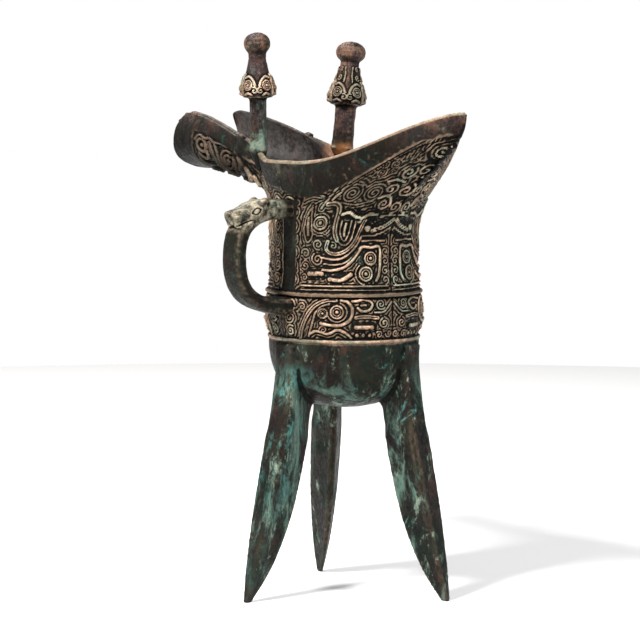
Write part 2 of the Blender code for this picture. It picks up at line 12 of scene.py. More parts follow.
import bmesh
import bpy
import numpy as np
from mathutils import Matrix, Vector


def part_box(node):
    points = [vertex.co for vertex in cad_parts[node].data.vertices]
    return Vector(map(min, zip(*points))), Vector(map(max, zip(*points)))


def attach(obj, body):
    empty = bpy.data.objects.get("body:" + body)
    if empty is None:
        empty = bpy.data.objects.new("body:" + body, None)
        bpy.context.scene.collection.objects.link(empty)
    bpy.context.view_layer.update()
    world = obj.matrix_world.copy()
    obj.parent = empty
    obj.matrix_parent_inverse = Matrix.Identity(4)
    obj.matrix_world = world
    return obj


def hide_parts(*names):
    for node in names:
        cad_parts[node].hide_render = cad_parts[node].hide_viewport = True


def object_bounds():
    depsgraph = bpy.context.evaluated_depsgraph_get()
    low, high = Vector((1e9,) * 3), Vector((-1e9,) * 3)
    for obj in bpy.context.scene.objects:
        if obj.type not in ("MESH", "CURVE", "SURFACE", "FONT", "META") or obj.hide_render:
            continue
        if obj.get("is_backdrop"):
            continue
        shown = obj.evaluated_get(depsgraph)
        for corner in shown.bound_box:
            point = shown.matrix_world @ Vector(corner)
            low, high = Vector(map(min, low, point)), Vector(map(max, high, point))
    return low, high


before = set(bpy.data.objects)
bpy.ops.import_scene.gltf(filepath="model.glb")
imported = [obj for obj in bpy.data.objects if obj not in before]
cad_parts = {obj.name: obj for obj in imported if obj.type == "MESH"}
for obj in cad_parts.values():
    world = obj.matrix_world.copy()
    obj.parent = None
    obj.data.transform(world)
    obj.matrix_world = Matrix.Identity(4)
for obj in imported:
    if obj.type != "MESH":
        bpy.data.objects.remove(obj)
cad_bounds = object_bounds()

MM = 0.001

# The bowl, as in the part.
WALL = 2.6 * MM
BODY_RADIUS = 30.0 * MM
BELLY_SWELL = 1.9 * MM
OVAL = 0.04
BOTTOM_HEIGHT = 75.0 * MM
BAND_HEIGHT = 102.6 * MM
DIVIDER_HEIGHT = 121.6 * MM
SHOULDER_HEIGHT = 143.0 * MM
BAND_STEP = 0.4 * MM
BOTTOM_FULLNESS = 2.5

# The rim, as in the part.
RIM_HEIGHT = 173.4 * MM
RIM_HALF_WIDTH = 32.0 * MM
RIM_FLARE = 0.2
TAIL_LENGTH = 78.8 * MM
TAIL_RISE = 21.0 * MM
TAIL_RISE_START = 9.0 * MM
TAIL_RISE_SOFTNESS = 1.18
SPOUT_RISE = 18.5 * MM
SPOUT_RISE_START = 14.0 * MM
SPOUT_RISE_SOFTNESS = 0.8
RISE_OVERRUN = 6.0 * MM
TIP_ROUNDS = (5.0 * MM, 6.0 * MM)
TIP_DROPS = (1.8 * MM, 2.2 * MM)

# The spout, as in the part.
SPOUT_ROOT = 50.0 * MM
SPOUT_LENGTH = 95.0 * MM
SPOUT_NOSE = 3.0 * MM
ROOT_HALF_WIDTH = 20.0 * MM
ROOT_LIP = 17.6 * MM
TIP_HALF_WIDTH = 18.0 * MM
TIP_LIP = 13.2 * MM
ROOT_KEEL_DEPTH = 10.4 * MM
TIP_KEEL_DEPTH = 6.1 * MM
KEEL_EASE = 2.5
WIDEST_SHARE = 0.5
CHANNEL_FULLNESS = 2.3
LOWER_SHARE = 0.68
RIB_START = 14.5 * MM
RIB_END = 13.0 * MM
TAIL_RIB_START = 19.0 * MM
TAIL_RIB_END = 18.5 * MM
SPOUT_TURN_START = 20.0 * MM
ROOT_ANGLE = math.radians(140)

# The legs, as in the part.
LEG_ANGLES = (-90.0, 23.6, 156.0)
FOOT_RADIUS = 48.2 * MM
LEG_DEPTH = 16.8 * MM
LEG_HALF_WIDTH = 6.5 * MM
LEG_PROUD = 0.8 * MM
LEG_CURVE = 1.7
LEG_STRAIGHTENING = 0.78
DEPTH_TAPER = 4.0
WIDTH_TAPER = 3.0
FOOT_TAPER = 0.19
LEG_TOP = BAND_HEIGHT - 1.5 * MM
BOTTOM_RADIUS = BODY_RADIUS + 0.4 * BELLY_SWELL - BAND_STEP  # the plain bowl's, right under the band

# The handle, as in the part.
HANDLE_TOP_HEIGHT = 154.4 * MM
HANDLE_LOW_HEIGHT = 116.7 * MM
HANDLE_REACH = 52.7 * MM
STRAP_HALF_WIDTH = 5.6 * MM
STRAP_HALF_DEPTH = 3.0 * MM
HEAD_HALF_WIDTH = 6.2 * MM
HEAD_HALF_DEPTH = 4.3 * MM

# The posts, as in the part.
POST_OFFSET = 29.8 * MM
POST_RADII = (3.8 * MM, 4.8 * MM)
POST_RISES = (50.6 * MM, 47.2 * MM)
POST_LEANS = (1.0, 6.4)
POST_FOOT = 8.0 * MM
CAP_HEIGHT = 26.4 * MM
CAP_RADII = (7.6 * MM, 8.3 * MM)
KNOB_RADII = (5.9 * MM, 6.8 * MM)

# The relief, in millimetres on the wall.
GROUND = -0.6  # the relief's ground lies this far under the solid's face
ECHO_STEP = 1.45  # distance between the thin lines that repeat the outline of each motif
ECHO_RISE = 0.5
SHEET_RADIUS = 30.6  # distances round the wall are measured on this radius
EDGE_ROUND = 0.9  # the rim's and the spout's edges are rounded over this depth
RIDGE = (0.75, 0.75)  # half width and rise of the ridge between the bands
CREST_PASSES = 10
CREST_DEPTH = 0.16 * MM  # of a full crest or hollow
SURFACE_BUMPS = ((0.07, 2.6, 1), (0.05, 1.2, 2), (0.08, 7.0, 5))  # rise, size and seed of each
NOSE_EDGE = 8.8  # the masks' middle strip reaches this far to each side
PANEL_TURN = 3.0  # the plain strip behind the handle lies this far towards the tail
PANEL_EDGE = 3.9  # half its width on the main band
LOW_PANEL_EDGE = 1.5  # and on the lower band, where it lies straight under the handle
ROOT_LEVEL = -0.3  # height of the relief where the spout joins the wall
SPOUT_STRETCH = 1.45  # the spout's scrolls are this much longer along it
SPOUT_BORDER = 6.8  # depth of the plain border along the spout's lips
LIP_DISTANCE = 33.0  # the lips' distance from the keel, round the spout's side

# Fineness of the meshes.
COLUMNS = 560
BAND_ROWS = 66
UPRIGHT_ROWS = 62
FLARE_ROWS = 88
LINING_ROWS = 10
SPOUT_ROWS = 120
SPOUT_COLUMNS = 200
SECTION_SIDES = 16
POST_ROWS = 230
POST_COLUMNS = 128
LEG_VOXEL = 0.565 * MM
HANDLE_VOXEL = 0.34 * MM


# Shapes of the part, worked out for whole rows of points at once.


def smooth(share):
    """Rises from 0 to 1 with level ends."""
    share = np.clip(share, 0.0, 1.0)
    return share * share * (3 - 2 * share)


def mix(first, second, share):
    return first + (second - first) * share


def body_radius(height):
    middle = mix(BAND_HEIGHT, DIVIDER_HEIGHT, 0.45)
    reach = np.where(height > middle, SHOULDER_HEIGHT - middle, 1.6 * (middle - BAND_HEIGHT))
    share = np.abs(height - middle) / (0.72 * reach)
    return BODY_RADIUS + BELLY_SWELL * (1 - smooth(share))


def oval(angle, height, radius, inset):
    x = (radius * (1 + OVAL) - inset) * np.cos(angle)
    y = (radius * (1 - OVAL) - inset) * np.sin(angle)
    return np.stack(np.broadcast_arrays(x, y, height), -1)


def rim_height(x):
    length = np.where(x > 0, TAIL_LENGTH, SPOUT_LENGTH)
    corner = np.clip(1 - (length - np.abs(x)) / np.where(x > 0, *TIP_ROUNDS), 0.0, 1.0)
    low = RIM_HEIGHT - np.where(x > 0, *TIP_DROPS) * (1 - np.sqrt(1 - corner * corner))
    tail = np.maximum(0.0, x - TAIL_RISE_START) / (TAIL_LENGTH + RISE_OVERRUN - TAIL_RISE_START)
    spout = np.maximum(0.0, -x - SPOUT_RISE_START) / (SPOUT_LENGTH + RISE_OVERRUN - SPOUT_RISE_START)
    tail_rise = TAIL_RISE * smooth(tail**TAIL_RISE_SOFTNESS)
    rise = np.where(x > 0, tail_rise, SPOUT_RISE * smooth(spout**SPOUT_RISE_SOFTNESS))
    return low + rise


def along_spout(x):
    return np.clip((-x - SPOUT_ROOT) / (SPOUT_LENGTH - SPOUT_ROOT), 0.0, 1.0)


def rim_half_width(x):
    tail = RIM_HALF_WIDTH * (1 - (x / TAIL_LENGTH) ** 2)
    return np.where(x >= 0, tail, mix(RIM_HALF_WIDTH, ROOT_LIP, smooth(-x / (0.94 * SPOUT_ROOT))))


def inset_half_width(x, inset):
    step = 0.2 * MM
    slope = (rim_half_width(x + step) - rim_half_width(x - step)) / (2 * step)
    return rim_half_width(x) - inset * np.sqrt(1 + slope * slope)


class Rim:
    """One side of the rim, from the tail's tip to the spout's root, by its share of the length."""

    SAMPLES = 1500

    def __init__(self, inset):
        low, high = 0.0, TAIL_LENGTH
        for _ in range(50):
            middle = (low + high) / 2
            if inset_half_width(middle, inset) > 0:
                low = middle
            else:
                high = middle
        xs = np.linspace(low, -SPOUT_ROOT, self.SAMPLES)
        widths = np.maximum(0.0, inset_half_width(xs, inset))
        self.points = np.stack([xs, widths, rim_height(xs)], 1)
        steps = np.linalg.norm(np.diff(self.points, axis=0), axis=1)
        self.lengths = np.concatenate([[0.0], np.cumsum(steps)])

    def point(self, share):
        length = np.clip(share, 0.0, 1.0) * self.lengths[-1]
        return np.stack([np.interp(length, self.lengths, self.points[:, i]) for i in range(3)], -1)


def channel_point(along, around, inset):
    """Points of the spout: along is 0 at its root, 1 at its end, around 0 at the keel, 1 at the lip."""
    along, around = np.broadcast_arrays(along, around)
    x = -mix(SPOUT_ROOT, SPOUT_LENGTH, along)
    ease = (1 - along_spout(x)) ** KEEL_EASE
    keel = RIM_HEIGHT - mix(TIP_KEEL_DEPTH, ROOT_KEEL_DEPTH, ease) + inset
    depth = rim_height(x) - keel
    half_width = mix(ROOT_HALF_WIDTH, TIP_HALF_WIDTH, along) - inset
    lip = mix(ROOT_LIP, TIP_LIP, along) - inset
    power = 2 / CHANNEL_FULLNESS
    turn = np.clip(np.pi / 2 * around / LOWER_SHARE, 0, np.pi / 2)
    share = np.clip((around - LOWER_SHARE) / (1 - LOWER_SHARE), 0, 1)
    lower = around < LOWER_SHARE
    low_rise = WIDEST_SHARE * (1 - np.maximum(0.0, np.cos(turn)) ** power)
    width = np.where(lower, half_width * np.sin(turn) ** power, mix(half_width, lip, share * share))
    rise = np.where(lower, low_rise, mix(WIDEST_SHARE, 1.0, share))
    nose = SPOUT_NOSE * along**4 * (1 - np.abs(2 * rise - 1) ** 4)
    return np.stack([x - nose, width, keel + depth * rise], -1)


def bezier(points, share):
    """The place at a share of the curve with four control points."""
    rest = 1 - share
    weights = (rest**3, 3 * rest**2 * share, 3 * rest * share**2, share**3)
    return sum(weight * np.array(point) for weight, point in zip(weights, points))


def turn_from_tail(angles):
    """The turn away from the tail to either side, 0 at the tail and pi at the spout."""
    return np.arccos(np.clip(np.cos(angles), -1, 1))


def unit(vectors):
    return vectors / np.maximum(1e-12, np.linalg.norm(vectors, axis=-1, keepdims=True))


def rough(points, size, seed):
    """Smooth random bumps from -1 to 1, about one to each length of that size."""
    table = np.random.default_rng(seed).uniform(-1, 1, (32, 32, 32))
    low = np.floor(points / size).astype(int)
    share = smooth(points / size - low)
    total = 0.0
    for corner in itertools.product((0, 1), repeat=3):
        place = (low + corner) % 32
        weight = np.prod(np.where(corner, share, 1 - share), -1)
        total = total + weight * table[place[..., 0], place[..., 1], place[..., 2]]
    return total


def ribs(turns, inset):
    """Control points of the wall's curves above the shoulder, for turns from the tail to the spout."""
    rim = Rim(inset)
    up_axis = np.array([0.0, 0.0, 1.0])
    share = turns / ROOT_ANGLE
    on_rim = turns <= ROOT_ANGLE
    around = np.where(on_rim, 1.0, 1 - (turns - ROOT_ANGLE) / (np.pi - ROOT_ANGLE))
    start = oval(turns, SHOULDER_HEIGHT, BODY_RADIUS, inset)
    end = np.where(on_rim[:, None], rim.point(share), channel_point(0.0, around, inset))
    ahead = rim.point(share + 0.01) - rim.point(share - 0.01)
    outward = unit(np.stack([ahead[:, 1], -ahead[:, 0], np.zeros(len(turns))], -1))
    flare = np.where(on_rim[:, None], outward * RIM_FLARE, 0.0)
    up = unit(flare + up_axis)
    to_spout = smooth((-end[:, 0] - SPOUT_TURN_START) / (SPOUT_ROOT - SPOUT_TURN_START))
    turn = np.where(on_rim, to_spout, 1.0)
    flow = unit(channel_point(0.02, around, inset) - channel_point(0.0, around, inset))
    course = unit(mix(up, flow, turn[:, None]))
    to_tail = (1 + np.cos(turns))[:, None] / 2
    rise = mix(RIB_START, TAIL_RIB_START, to_tail)
    reach = mix(RIB_END, TAIL_RIB_END, to_tail)
    return start, start + up_axis * rise, end - course * reach, end


def flare_points(angles, shares, inset):
    """Rows of points over the shoulder, one row for each share of the way up to the rim."""
    side = np.where(np.sin(angles) < 0, -1.0, 1.0)
    mirror = np.stack([np.ones_like(side), side, np.ones_like(side)], -1)
    controls = ribs(turn_from_tail(angles), inset)
    return np.array([bezier(controls, share) * mirror for share in shares])


def upright_points(angles, heights, inset):
    rows = [oval(angles, height, body_radius(height), inset) for height in heights]
    return np.array(rows)


# Drawing the relief on a flat sheet.


def curve(points, steps=6):
    """A smooth line through points."""
    points = np.array(points, float)
    if len(points) < 3:
        return points
    padded = np.vstack([2 * points[0] - points[1], points, 2 * points[-1] - points[-2]])
    line = []
    for i in range(len(points) - 1):
        p0, p1, p2, p3 = padded[i : i + 4]
        for share in np.arange(steps) / steps:
            square, cube = share**2, share**3
            bend = (2 * p0 - 5 * p1 + 4 * p2 - p3) * square + (3 * p1 - p0 - 3 * p2 + p3) * cube
            line.append(0.5 * (2 * p1 + (p2 - p0) * share + bend))
    line.append(points[-1])
    return np.array(line)


def on_circle(centre, radius, turn):
    return centre[0] + radius * math.cos(turn), centre[1] + radius * math.sin(turn)


class Sheet:
    """Relief heights in millimetres over places of a wall laid flat."""

    REACH = 5.0

    def __init__(self, across, up):
        self.across, self.up = across, up
        self.height = np.full(across.shape, GROUND)
        self.gap = np.full(across.shape, self.REACH)

    def near(self, line, reach):
        """The places within reach of a line, and how far off they are."""
        low, high = line.min(0) - reach, line.max(0) + reach
        beside = (self.across > low[0]) & (self.across < high[0])
        places = np.nonzero(beside & (self.up > low[1]) & (self.up < high[1]))
        spot = np.stack([self.across[places], self.up[places]], -1)
        gap = np.full(len(spot), 1e9)
        for first, second in zip(line, line[1:]):
            step = second - first
            share = np.clip((spot - first) @ step / max(1e-9, step @ step), 0, 1)
            gap = np.minimum(gap, np.linalg.norm(spot - first - share[:, None] * step, axis=1))
        return places, gap

    def band(self, points, width=0.8, rise=0.9, grooves=()):
        """A raised band with rounded sides, and grooves at some distances from its middle line."""
        places, gap = self.near(curve(points), self.REACH)
        top = rise * np.clip(1 - (2 * gap / width) ** 2, 0, 1) ** 0.4
        for groove in grooves:
            top = top - 0.45 * rise * np.exp(-(((gap - groove) / 0.24) ** 2)) * (gap < width / 2)
        self.height[places] = np.maximum(self.height[places], top + GROUND)
        self.gap[places] = np.minimum(self.gap[places], gap - width / 2)

    def bed(self, points, width, rise=0.45):
        """Lifts a broad soft strip of the ground, under the motifs that lie on it."""
        places, gap = self.near(curve(points), width)
        self.height[places] += rise * smooth(1.6 * (1 - 2 * gap / width) + 0.3)

    def boss(self, centre, radius, rise=1.1):
        self.band([centre, (centre[0] + 0.01, centre[1])], 2 * radius, rise)

    def ring(self, centre, radius, width=0.6, rise=0.9, start=0, end=360):
        turns = np.radians(np.linspace(start, end, 13))
        self.band([on_circle(centre, radius, turn) for turn in turns], width, rise)

    def eye(self, centre, radius):
        """A round eye: a pupil in two raised rings."""
        self.boss(centre, radius * 0.32, 1.3)
        self.ring(centre, radius * 0.62, radius * 0.26, 1.0)
        self.ring(centre, radius, radius * 0.38, 1.2)

    def spiral(self, centre, radius, turns=2.0, hand=1, start=0.0, rise=0.85):
        """A raised line that winds outwards."""
        count = int(10 * turns) + 2
        width = min(0.9, 0.62 * radius / turns)
        line = []
        for share in np.linspace(0.12, 1, count):
            turn = math.radians(start) + hand * 2 * math.pi * turns * share
            line.append(on_circle(centre, radius * share, turn))
        self.band(line, width, rise)

    def bar(self, first, second, width, rise=1.2):
        """A lozenge bar in a low raised outline."""
        self.band([first, second], width * 1.9, rise * 0.55, (width * 0.62,))
        self.band([first, second], width, rise)

    def fill_ground(self, rise=ECHO_RISE):
        """Thin lines that repeat the motifs' outlines, and squared spirals where no motif is near."""
        gap = self.gap + 0.12 * np.sin(2.1 * self.across + 1.3 * self.up)
        echo = 0.5 - 0.5 * np.cos(2 * np.pi * gap / ECHO_STEP)
        thunder = 0.5 + 0.5 * thunder_ground(self.across, self.up, 3.3)
        lines = mix(echo, thunder, smooth((gap - 1.7 * ECHO_STEP) / 0.5)) * smooth(gap / 0.3)
        return np.maximum(self.height, GROUND + rise * lines)


def thunder_ground(across, up, pitch):
    """Small squared spirals in rows, from -1 to 1."""
    column, row = np.floor(across / pitch), np.floor(up / pitch)
    x = across - (column + 0.5) * pitch
    y = up - (row + 0.5) * pitch
    x = np.where((column + row) % 2 > 0, -x, x)
    radius = (x**4 + y**4) ** 0.25
    turn = np.arctan2(y, x) / (2 * np.pi)
    return np.cos(2 * np.pi * (radius / (pitch / 4.4) - turn))


def quarter_places(points, angles):
    """Places on the wall as distance around it from the handle's or the far side's middle, and height."""
    turned = np.abs(np.abs(np.degrees(angles)) - 90.0)
    around = np.broadcast_to(np.radians(turned) * SHEET_RADIUS, points.shape[:-1])
    return around, points[..., 2] / MM


def draw_mask(sheet):
    """The main band: half a beast's mask with a coiled horn, eyes and scrolled jaws."""
    sheet.bed([(21, 140), (24.3, 138), (28.5, 139), (32, 143), (34, 149)], 8)
    sheet.bed([(26, 153.4), (31, 152.2), (38, 153.2)], 5, 0.35)
    sheet.bed([(36, 147), (42, 147.6), (47, 150)], 6, 0.4)
    sheet.bed([(22, 157), (24, 150), (25, 144)], 5, 0.4)
    sheet.bed([(37, 136), (37, 130)], 10, 0.35)
    sheet.bed([(14, 130), (28, 128.6)], 6, 0.35)
    sheet.spiral((25.4, 161.6), 3.9, 3.2, 1, 90, 0.6)
    sheet.spiral((33.4, 161.8), 3.9, 3.2, -1, 90, 0.6)
    sheet.band([(20.8, 158.6), (28, 157.2), (34.6, 158.4)], 0.7, 0.6)
    sheet.eye((17.6, 149.8), 2.5)
    sheet.ring((17.6, 149.8), 3.9, 0.6, 0.8, 200, 340)
    sheet.ring((17.6, 149.8), 5.0, 0.6, 0.8, 215, 325)
    sheet.spiral((16.9, 141.4), 2.2, 1.8, 1, 0, 0.95)
    sheet.spiral((16.8, 135.6), 2.6, 1.9, -1, 90, 0.95)
    course = [
        (12.9, 156.5), (11.0, 150), (10.8, 144.8), (12.4, 142.0),
        (14.3, 144.6), (13.9, 149.5), (12.9, 156.5),
    ]
    sheet.band(course)
    sheet.band([(12.5, 151.5), (12.6, 144.9)], 1.3, 1.2)
    sheet.spiral((11.4, 137.8), 2.0, 1.5, 1, 0, 0.9)
    sheet.spiral((11.2, 132.9), 1.6, 1.4, -1, 0, 0.8)
    sheet.band([(16.6, 155.6), (17.9, 159.6), (19.4, 165)], 1.1, 0.9)
    sheet.band([(19.4, 158.8), (21, 162), (22.8, 166.5)], 1.1, 0.9)
    sheet.band([(26.2, 151), (26.0, 146), (27.7, 142.9), (29.5, 146), (29.9, 151)], 0.65, 0.85)
    sheet.band([(27.9, 149.6), (27.7, 146.4), (27.8, 144.8)], 1.2, 0.95)
    course = [(24.8, 144), (26.2, 141.8), (28.4, 141.3), (30.5, 143.4), (31.4, 147), (31.6, 151)]
    sheet.band(course, 0.7, 0.9)
    horn = [
        (21.2, 142.6), (20.5, 140), (21.8, 138.3), (24.3, 137.8),
        (27, 138.4), (30, 140.3), (32.6, 143.6),
    ]
    sheet.band(horn + [(33.9, 147.4), (35.0, 151.2)], 1.7, 1.3, (0.0,))
    sheet.spiral((23.3, 141.0), 1.5, 1.3, 1, 0, 0.9)
    course = [(18.9, 136.2), (22.5, 135.7), (26.5, 136), (30.3, 138.4), (33, 141.6), (34.8, 145)]
    sheet.band(course, 1.0, 1.1)
    sheet.band([(19.4, 133.8), (23.5, 133.6), (27.6, 134.2), (31, 136.7), (33.7, 140.2)], 0.8, 0.9)
    sheet.band([(19.0, 131.5), (23.3, 131.4), (27.7, 132.6), (30.9, 135.2), (33.3, 138.2)], 1.3, 1.25)
    hook = [
        (18.6, 157.4), (21.4, 157.6), (23.4, 156), (23.9, 153),
        (23.8, 149.6), (24.0, 146), (24.9, 143.2),
    ]
    sheet.band(hook, 2.2, 1.3, (0.0,))
    brow = [(25.4, 153.3), (28, 154.2), (31, 152.6), (33.5, 152.2), (36, 153.5), (38.8, 153.4)]
    sheet.band(brow, 1.5, 1.35)
    sheet.boss((32.8, 150.9), 1.5, 1.1)
    sheet.boss((36.8, 147.8), 1.7, 1.35)
    sheet.band([(38.9, 146.9), (41.5, 147.7), (44.5, 149), (46.8, 151)], 2.0, 1.25, (0.0,))
    sheet.band([(35.4, 144.9), (39, 144.8), (43, 145.9), (46.8, 147.9)], 1.0, 1.0)
    sheet.band([(35.2, 142.9), (39.5, 143.2), (45, 142.8)], 1.0, 1.1)
    frame_line = [
        (33.6, 138.6), (35.2, 140.6), (38.8, 140.3), (42.4, 140.5),
        (42.9, 136), (42.5, 130.5), (41.2, 127.4),
    ]
    sheet.band(frame_line, 1.5, 1.3)
    sheet.eye((38.6, 136.1), 2.4)
    sheet.eye((36.6, 130.0), 2.6)
    sheet.ring((36.6, 130.0), 4.2, 0.7, 0.9, 130, 260)
    for height in (138.6, 134.9, 131.2, 127.6):
        sheet.spiral((45.4, height), 1.7, 1.4, 1 if height > 133 else -1, height * 40, 0.9)
    sheet.bar((13.4, 129.9), (18.6, 130.1), 2.3, 1.3)
    sheet.band([(22, 127.9), (25, 127.6), (27.8, 128.1), (30.4, 129.8)], 2.0, 1.25)
    sheet.band([(9.6, 125.2), (20, 125.2), (31, 125.3), (46.6, 125.2)], 0.8, 0.9)
    sheet.band([(9.6, 123.6), (20, 123.7), (31, 123.7), (46.6, 123.6)], 0.7, 0.8)
    sheet.spiral((11.0, 128.4), 1.4, 1.4, 1, 0, 0.8)
    for around, height, size, hand in (
        (39.4, 157.6, 2.4, 1),
        (44.8, 156.2, 2.5, -1),
        (38.6, 163.6, 2.6, -1),
        (44.4, 163.0, 3.0, 1),
        (40.4, 170.2, 2.6, 1),
        (45.4, 171.0, 2.9, -1),
        (45.9, 178.6, 2.7, 1),
    ):
        sheet.spiral((around, height), size, 1.7, hand, 60 * size, 1.1)
    sheet.band([(36.4, 159.8), (38.6, 160.8), (41, 159.6), (42.4, 156.8)], 1.4, 1.25)
    sheet.band([(41.0, 152.4), (44, 153.0), (46.8, 153.0)], 1.0, 1.0)
    sheet.band([(35.6, 166.6), (38, 167.4), (41.6, 166.4)], 1.1, 1.0)
    sheet.band([(8.6, 158.6), (12, 160.4), (15.6, 160)], 1.8, 1.1, (0.0,))
    sheet.spiral((13.0, 163.8), 2.0, 1.5, 1, 0, 0.8)
    sheet.band([(3, 161.6), (6.4, 163.4), (9.8, 163)], 1.4, 1.0)


def draw_dragon(sheet):
    """The lower band: a coiled dragon with ringed eyes, looped jaws and bars."""
    sheet.bed([(20, 114.8), (26, 115)], 11, 0.35)
    sheet.bed([(32, 111), (40, 111)], 7, 0.3)
    course = [(9.4, 104.8), (10.8, 109), (13.7, 114.6), (17, 118), (21, 119.7), (24.6, 119.9)]
    sheet.band(course, 1.9, 1.15, (0.0,))
    sheet.band([(13.3, 105.4), (15.2, 110.5), (16.6, 114.7), (19, 117.3), (22.0, 118.3)], 1.0, 0.9)
    sheet.eye((19.5, 114.6), 1.8)
    sheet.eye((25.0, 115.2), 2.4)
    sheet.ring((25.0, 115.2), 3.8, 0.7, 0.9, -170, 70)
    loop = [
        (26.6, 119.9), (29.4, 118.9), (31.0, 116), (30.1, 112.4),
        (27, 110.4), (23, 110.0), (18.8, 110.7),
    ]
    sheet.band(loop, 1.5, 1.25)
    hook = [
        (31.0, 119.4), (32.9, 119.6), (35.1, 120.1), (37.8, 119.5),
        (38.9, 117.9), (37.4, 116), (34.6, 115.6),
    ]
    sheet.band(hook + [(33, 116.8)], 1.2, 1.25)
    sheet.band([(34.4, 117.8), (36.4, 117.9)], 1.0, 0.9)
    sheet.band([(32.2, 113.1), (36, 113.4), (41, 112.9)], 1.6, 1.15, (0.0,))
    sheet.bar((32.4, 109.2), (38.6, 109.2), 1.9, 1.3)
    sheet.spiral((19.6, 108.2), 1.6, 1.5, 1, 0, 0.9)
    course = [(13.8, 106.4), (17, 107.6), (21.4, 106.6), (25.0, 108.2), (28, 107.2), (30.6, 105)]
    sheet.band(course, 1.3, 1.1)
    for around in (32.8, 35.4, 38.0):
        sheet.boss((around, 105.9), 0.9, 0.95)
    sheet.spiral((42.6, 118.2), 2.2, 1.9, 1, 0, 1.0)
    sheet.band([(39.9, 115.0), (44, 115.4), (47.5, 119.0)], 0.9, 1.0)
    sheet.spiral((43.8, 110.8), 2.1, 1.7, -1, 0, 0.95)
    sheet.spiral((42.0, 106.2), 1.5, 1.4, 1, 0, 0.9)
    sheet.spiral((46.4, 106.6), 1.6, 1.5, -1, 0, 0.9)
    sheet.spiral((10.6, 117.0), 1.7, 1.5, 1, 0, 0.8)


def draw_nose(sheet):
    """The middle of each broad side: the mask's nose between scrolls."""
    sheet.band([(0, 124.6), (0, 153)], 3.0, 1.25, (0.6,))
    for height in (127.4, 132.6, 137.8, 143, 148.2, 153.4):
        sheet.spiral((5.0, height), 2.3, 1.8, 1, height * 30, 0.95)
    sheet.band([(0, 105), (0, 120)], 2.6, 1.15, (0.5,))
    for height in (107.3, 112.4, 117.5):
        sheet.spiral((5.0, height), 2.3, 1.8, -1, height * 30, 0.95)
    sheet.band([(0, 157), (3, 159.4), (6, 157.4)], 1.2, 1.0)


def draw_spout(sheet):
    """Deep scrolls and lobes under a plain border, by distance from the root and up from the keel."""
    sheet.spiral((1.9, 21.2), 4.3, 2.6, 1, 0, 1.7)
    sheet.band([(12.2, 23.6), (10.6, 20.5), (9.0, 17.0), (7.6, 13.6)], 1.8, 1.7, (0.0,))
    sheet.band([(9.4, 24.4), (7.8, 21.6), (6.8, 18.0), (5.6, 14.6)], 1.4, 1.5)
    sheet.ring((16.0, 21.4), 2.4, 1.3, 1.7)
    sheet.boss((16.0, 21.4), 0.9, 1.5)
    sheet.band([(17.6, 17.6), (15.2, 16.2), (13.0, 17.8), (13.4, 20.0)], 1.4, 1.6)
    sheet.band([(13.4, 13.6), (16.0, 12.6), (18.6, 14.6)], 1.6, 1.6)
    border = [
        (19.6, 22.6), (17.6, 25.0), (14.8, 24.5), (12.6, 25.6),
        (10.0, 24.9), (7.0, 25.9), (3.4, 26.1),
    ]
    sheet.band(border, 1.3, 1.6)
    sheet.band([(-3.2, 25.4), (-4.4, 23.4), (-4.0, 21.2)], 1.9, 1.8)
    sheet.band([(-6.4, 22.4), (-7.8, 20.2), (-7.0, 18.2)], 2.0, 1.8)
    sheet.band([(-9.6, 20.6), (-11.2, 18.2)], 1.8, 1.8)
    sheet.band([(-3.6, 17.0), (-1.2, 15.0), (2.2, 14.8), (4.6, 16.6)], 1.4, 1.6)
    for place in (16.4, 9.4, 2.1, -5.6):
        sheet.boss((place, 7.2), 3.1, 1.5)
        sheet.spiral((place, 7.8), 2.4, 1.5, 1, 90, 1.9)


def neck_relief(points):
    """The spout's scrolls carried on over the wall beside its root, and where they lie."""
    below = (rim_height(points[..., 0]) - points[..., 2]) / MM
    sheet = Sheet((-points[..., 0] - SPOUT_ROOT) / MM / SPOUT_STRETCH, LIP_DISTANCE - below)
    draw_spout(sheet)
    busy = smooth((below - SPOUT_BORDER) / 1.2)
    relief = mix(0.0, sheet.fill_ground(0.25), busy)
    join = smooth(1 - (points[..., 0] + SPOUT_ROOT) / (1.2 * MM))
    beyond = smooth((-points[..., 0] - 30 * MM) / (4 * MM))
    zone = beyond * smooth((points[..., 2] - 152 * MM) / (4 * MM))
    return mix(relief, ROOT_LEVEL * busy, join), zone


def wall_relief(points, angles):
    """Relief heights over rows of points on the bowl's wall, and their depth under the rim, both in mm."""
    around, height = quarter_places(points, angles)
    rim = flare_points(angles, [1.0], 0.0)[0]
    below_rim = rim[:, 2] / MM - height
    border = tail_border(angles)
    busy = smooth((below_rim - border) / 1.6)
    on_handle_side = np.broadcast_to(np.sin(angles) < 0, around.shape)
    over_divider = height > DIVIDER_HEIGHT / MM
    turn = (angles + np.pi / 2) * SHEET_RADIUS - PANEL_TURN * over_divider
    panel_edge = np.where(over_divider, PANEL_EDGE, LOW_PANEL_EDGE)
    plain_panel = smooth((panel_edge - np.abs(turn)) / 0.5) * on_handle_side * smooth((160 - height) / 2)
    sheet = Sheet(around, height)
    draw_mask(sheet)
    draw_dragon(sheet)
    far = Sheet(around, height)
    draw_nose(far)
    relief = np.where(around < NOSE_EDGE, far.fill_ground(), sheet.fill_ground())
    seam = 0.5 * np.exp(-(((around - 48.07) / 0.45) ** 2)) * (height < 150)
    wear = mix(0.66, 1.0, smooth(0.5 + rough(points, 5 * MM, 3)))
    corroded = 0.16 * rough(points, 1.5 * MM, 8) + 0.1 * rough(points, 0.8 * MM, 9)
    relief = GROUND + (relief - GROUND) * wear - seam + corroded
    relief = mix(0.0, relief, busy) * (1 - plain_panel) + GROUND * 0.4 * plain_panel
    neck, zone = neck_relief(points)
    return mix(relief, neck, zone), below_rim


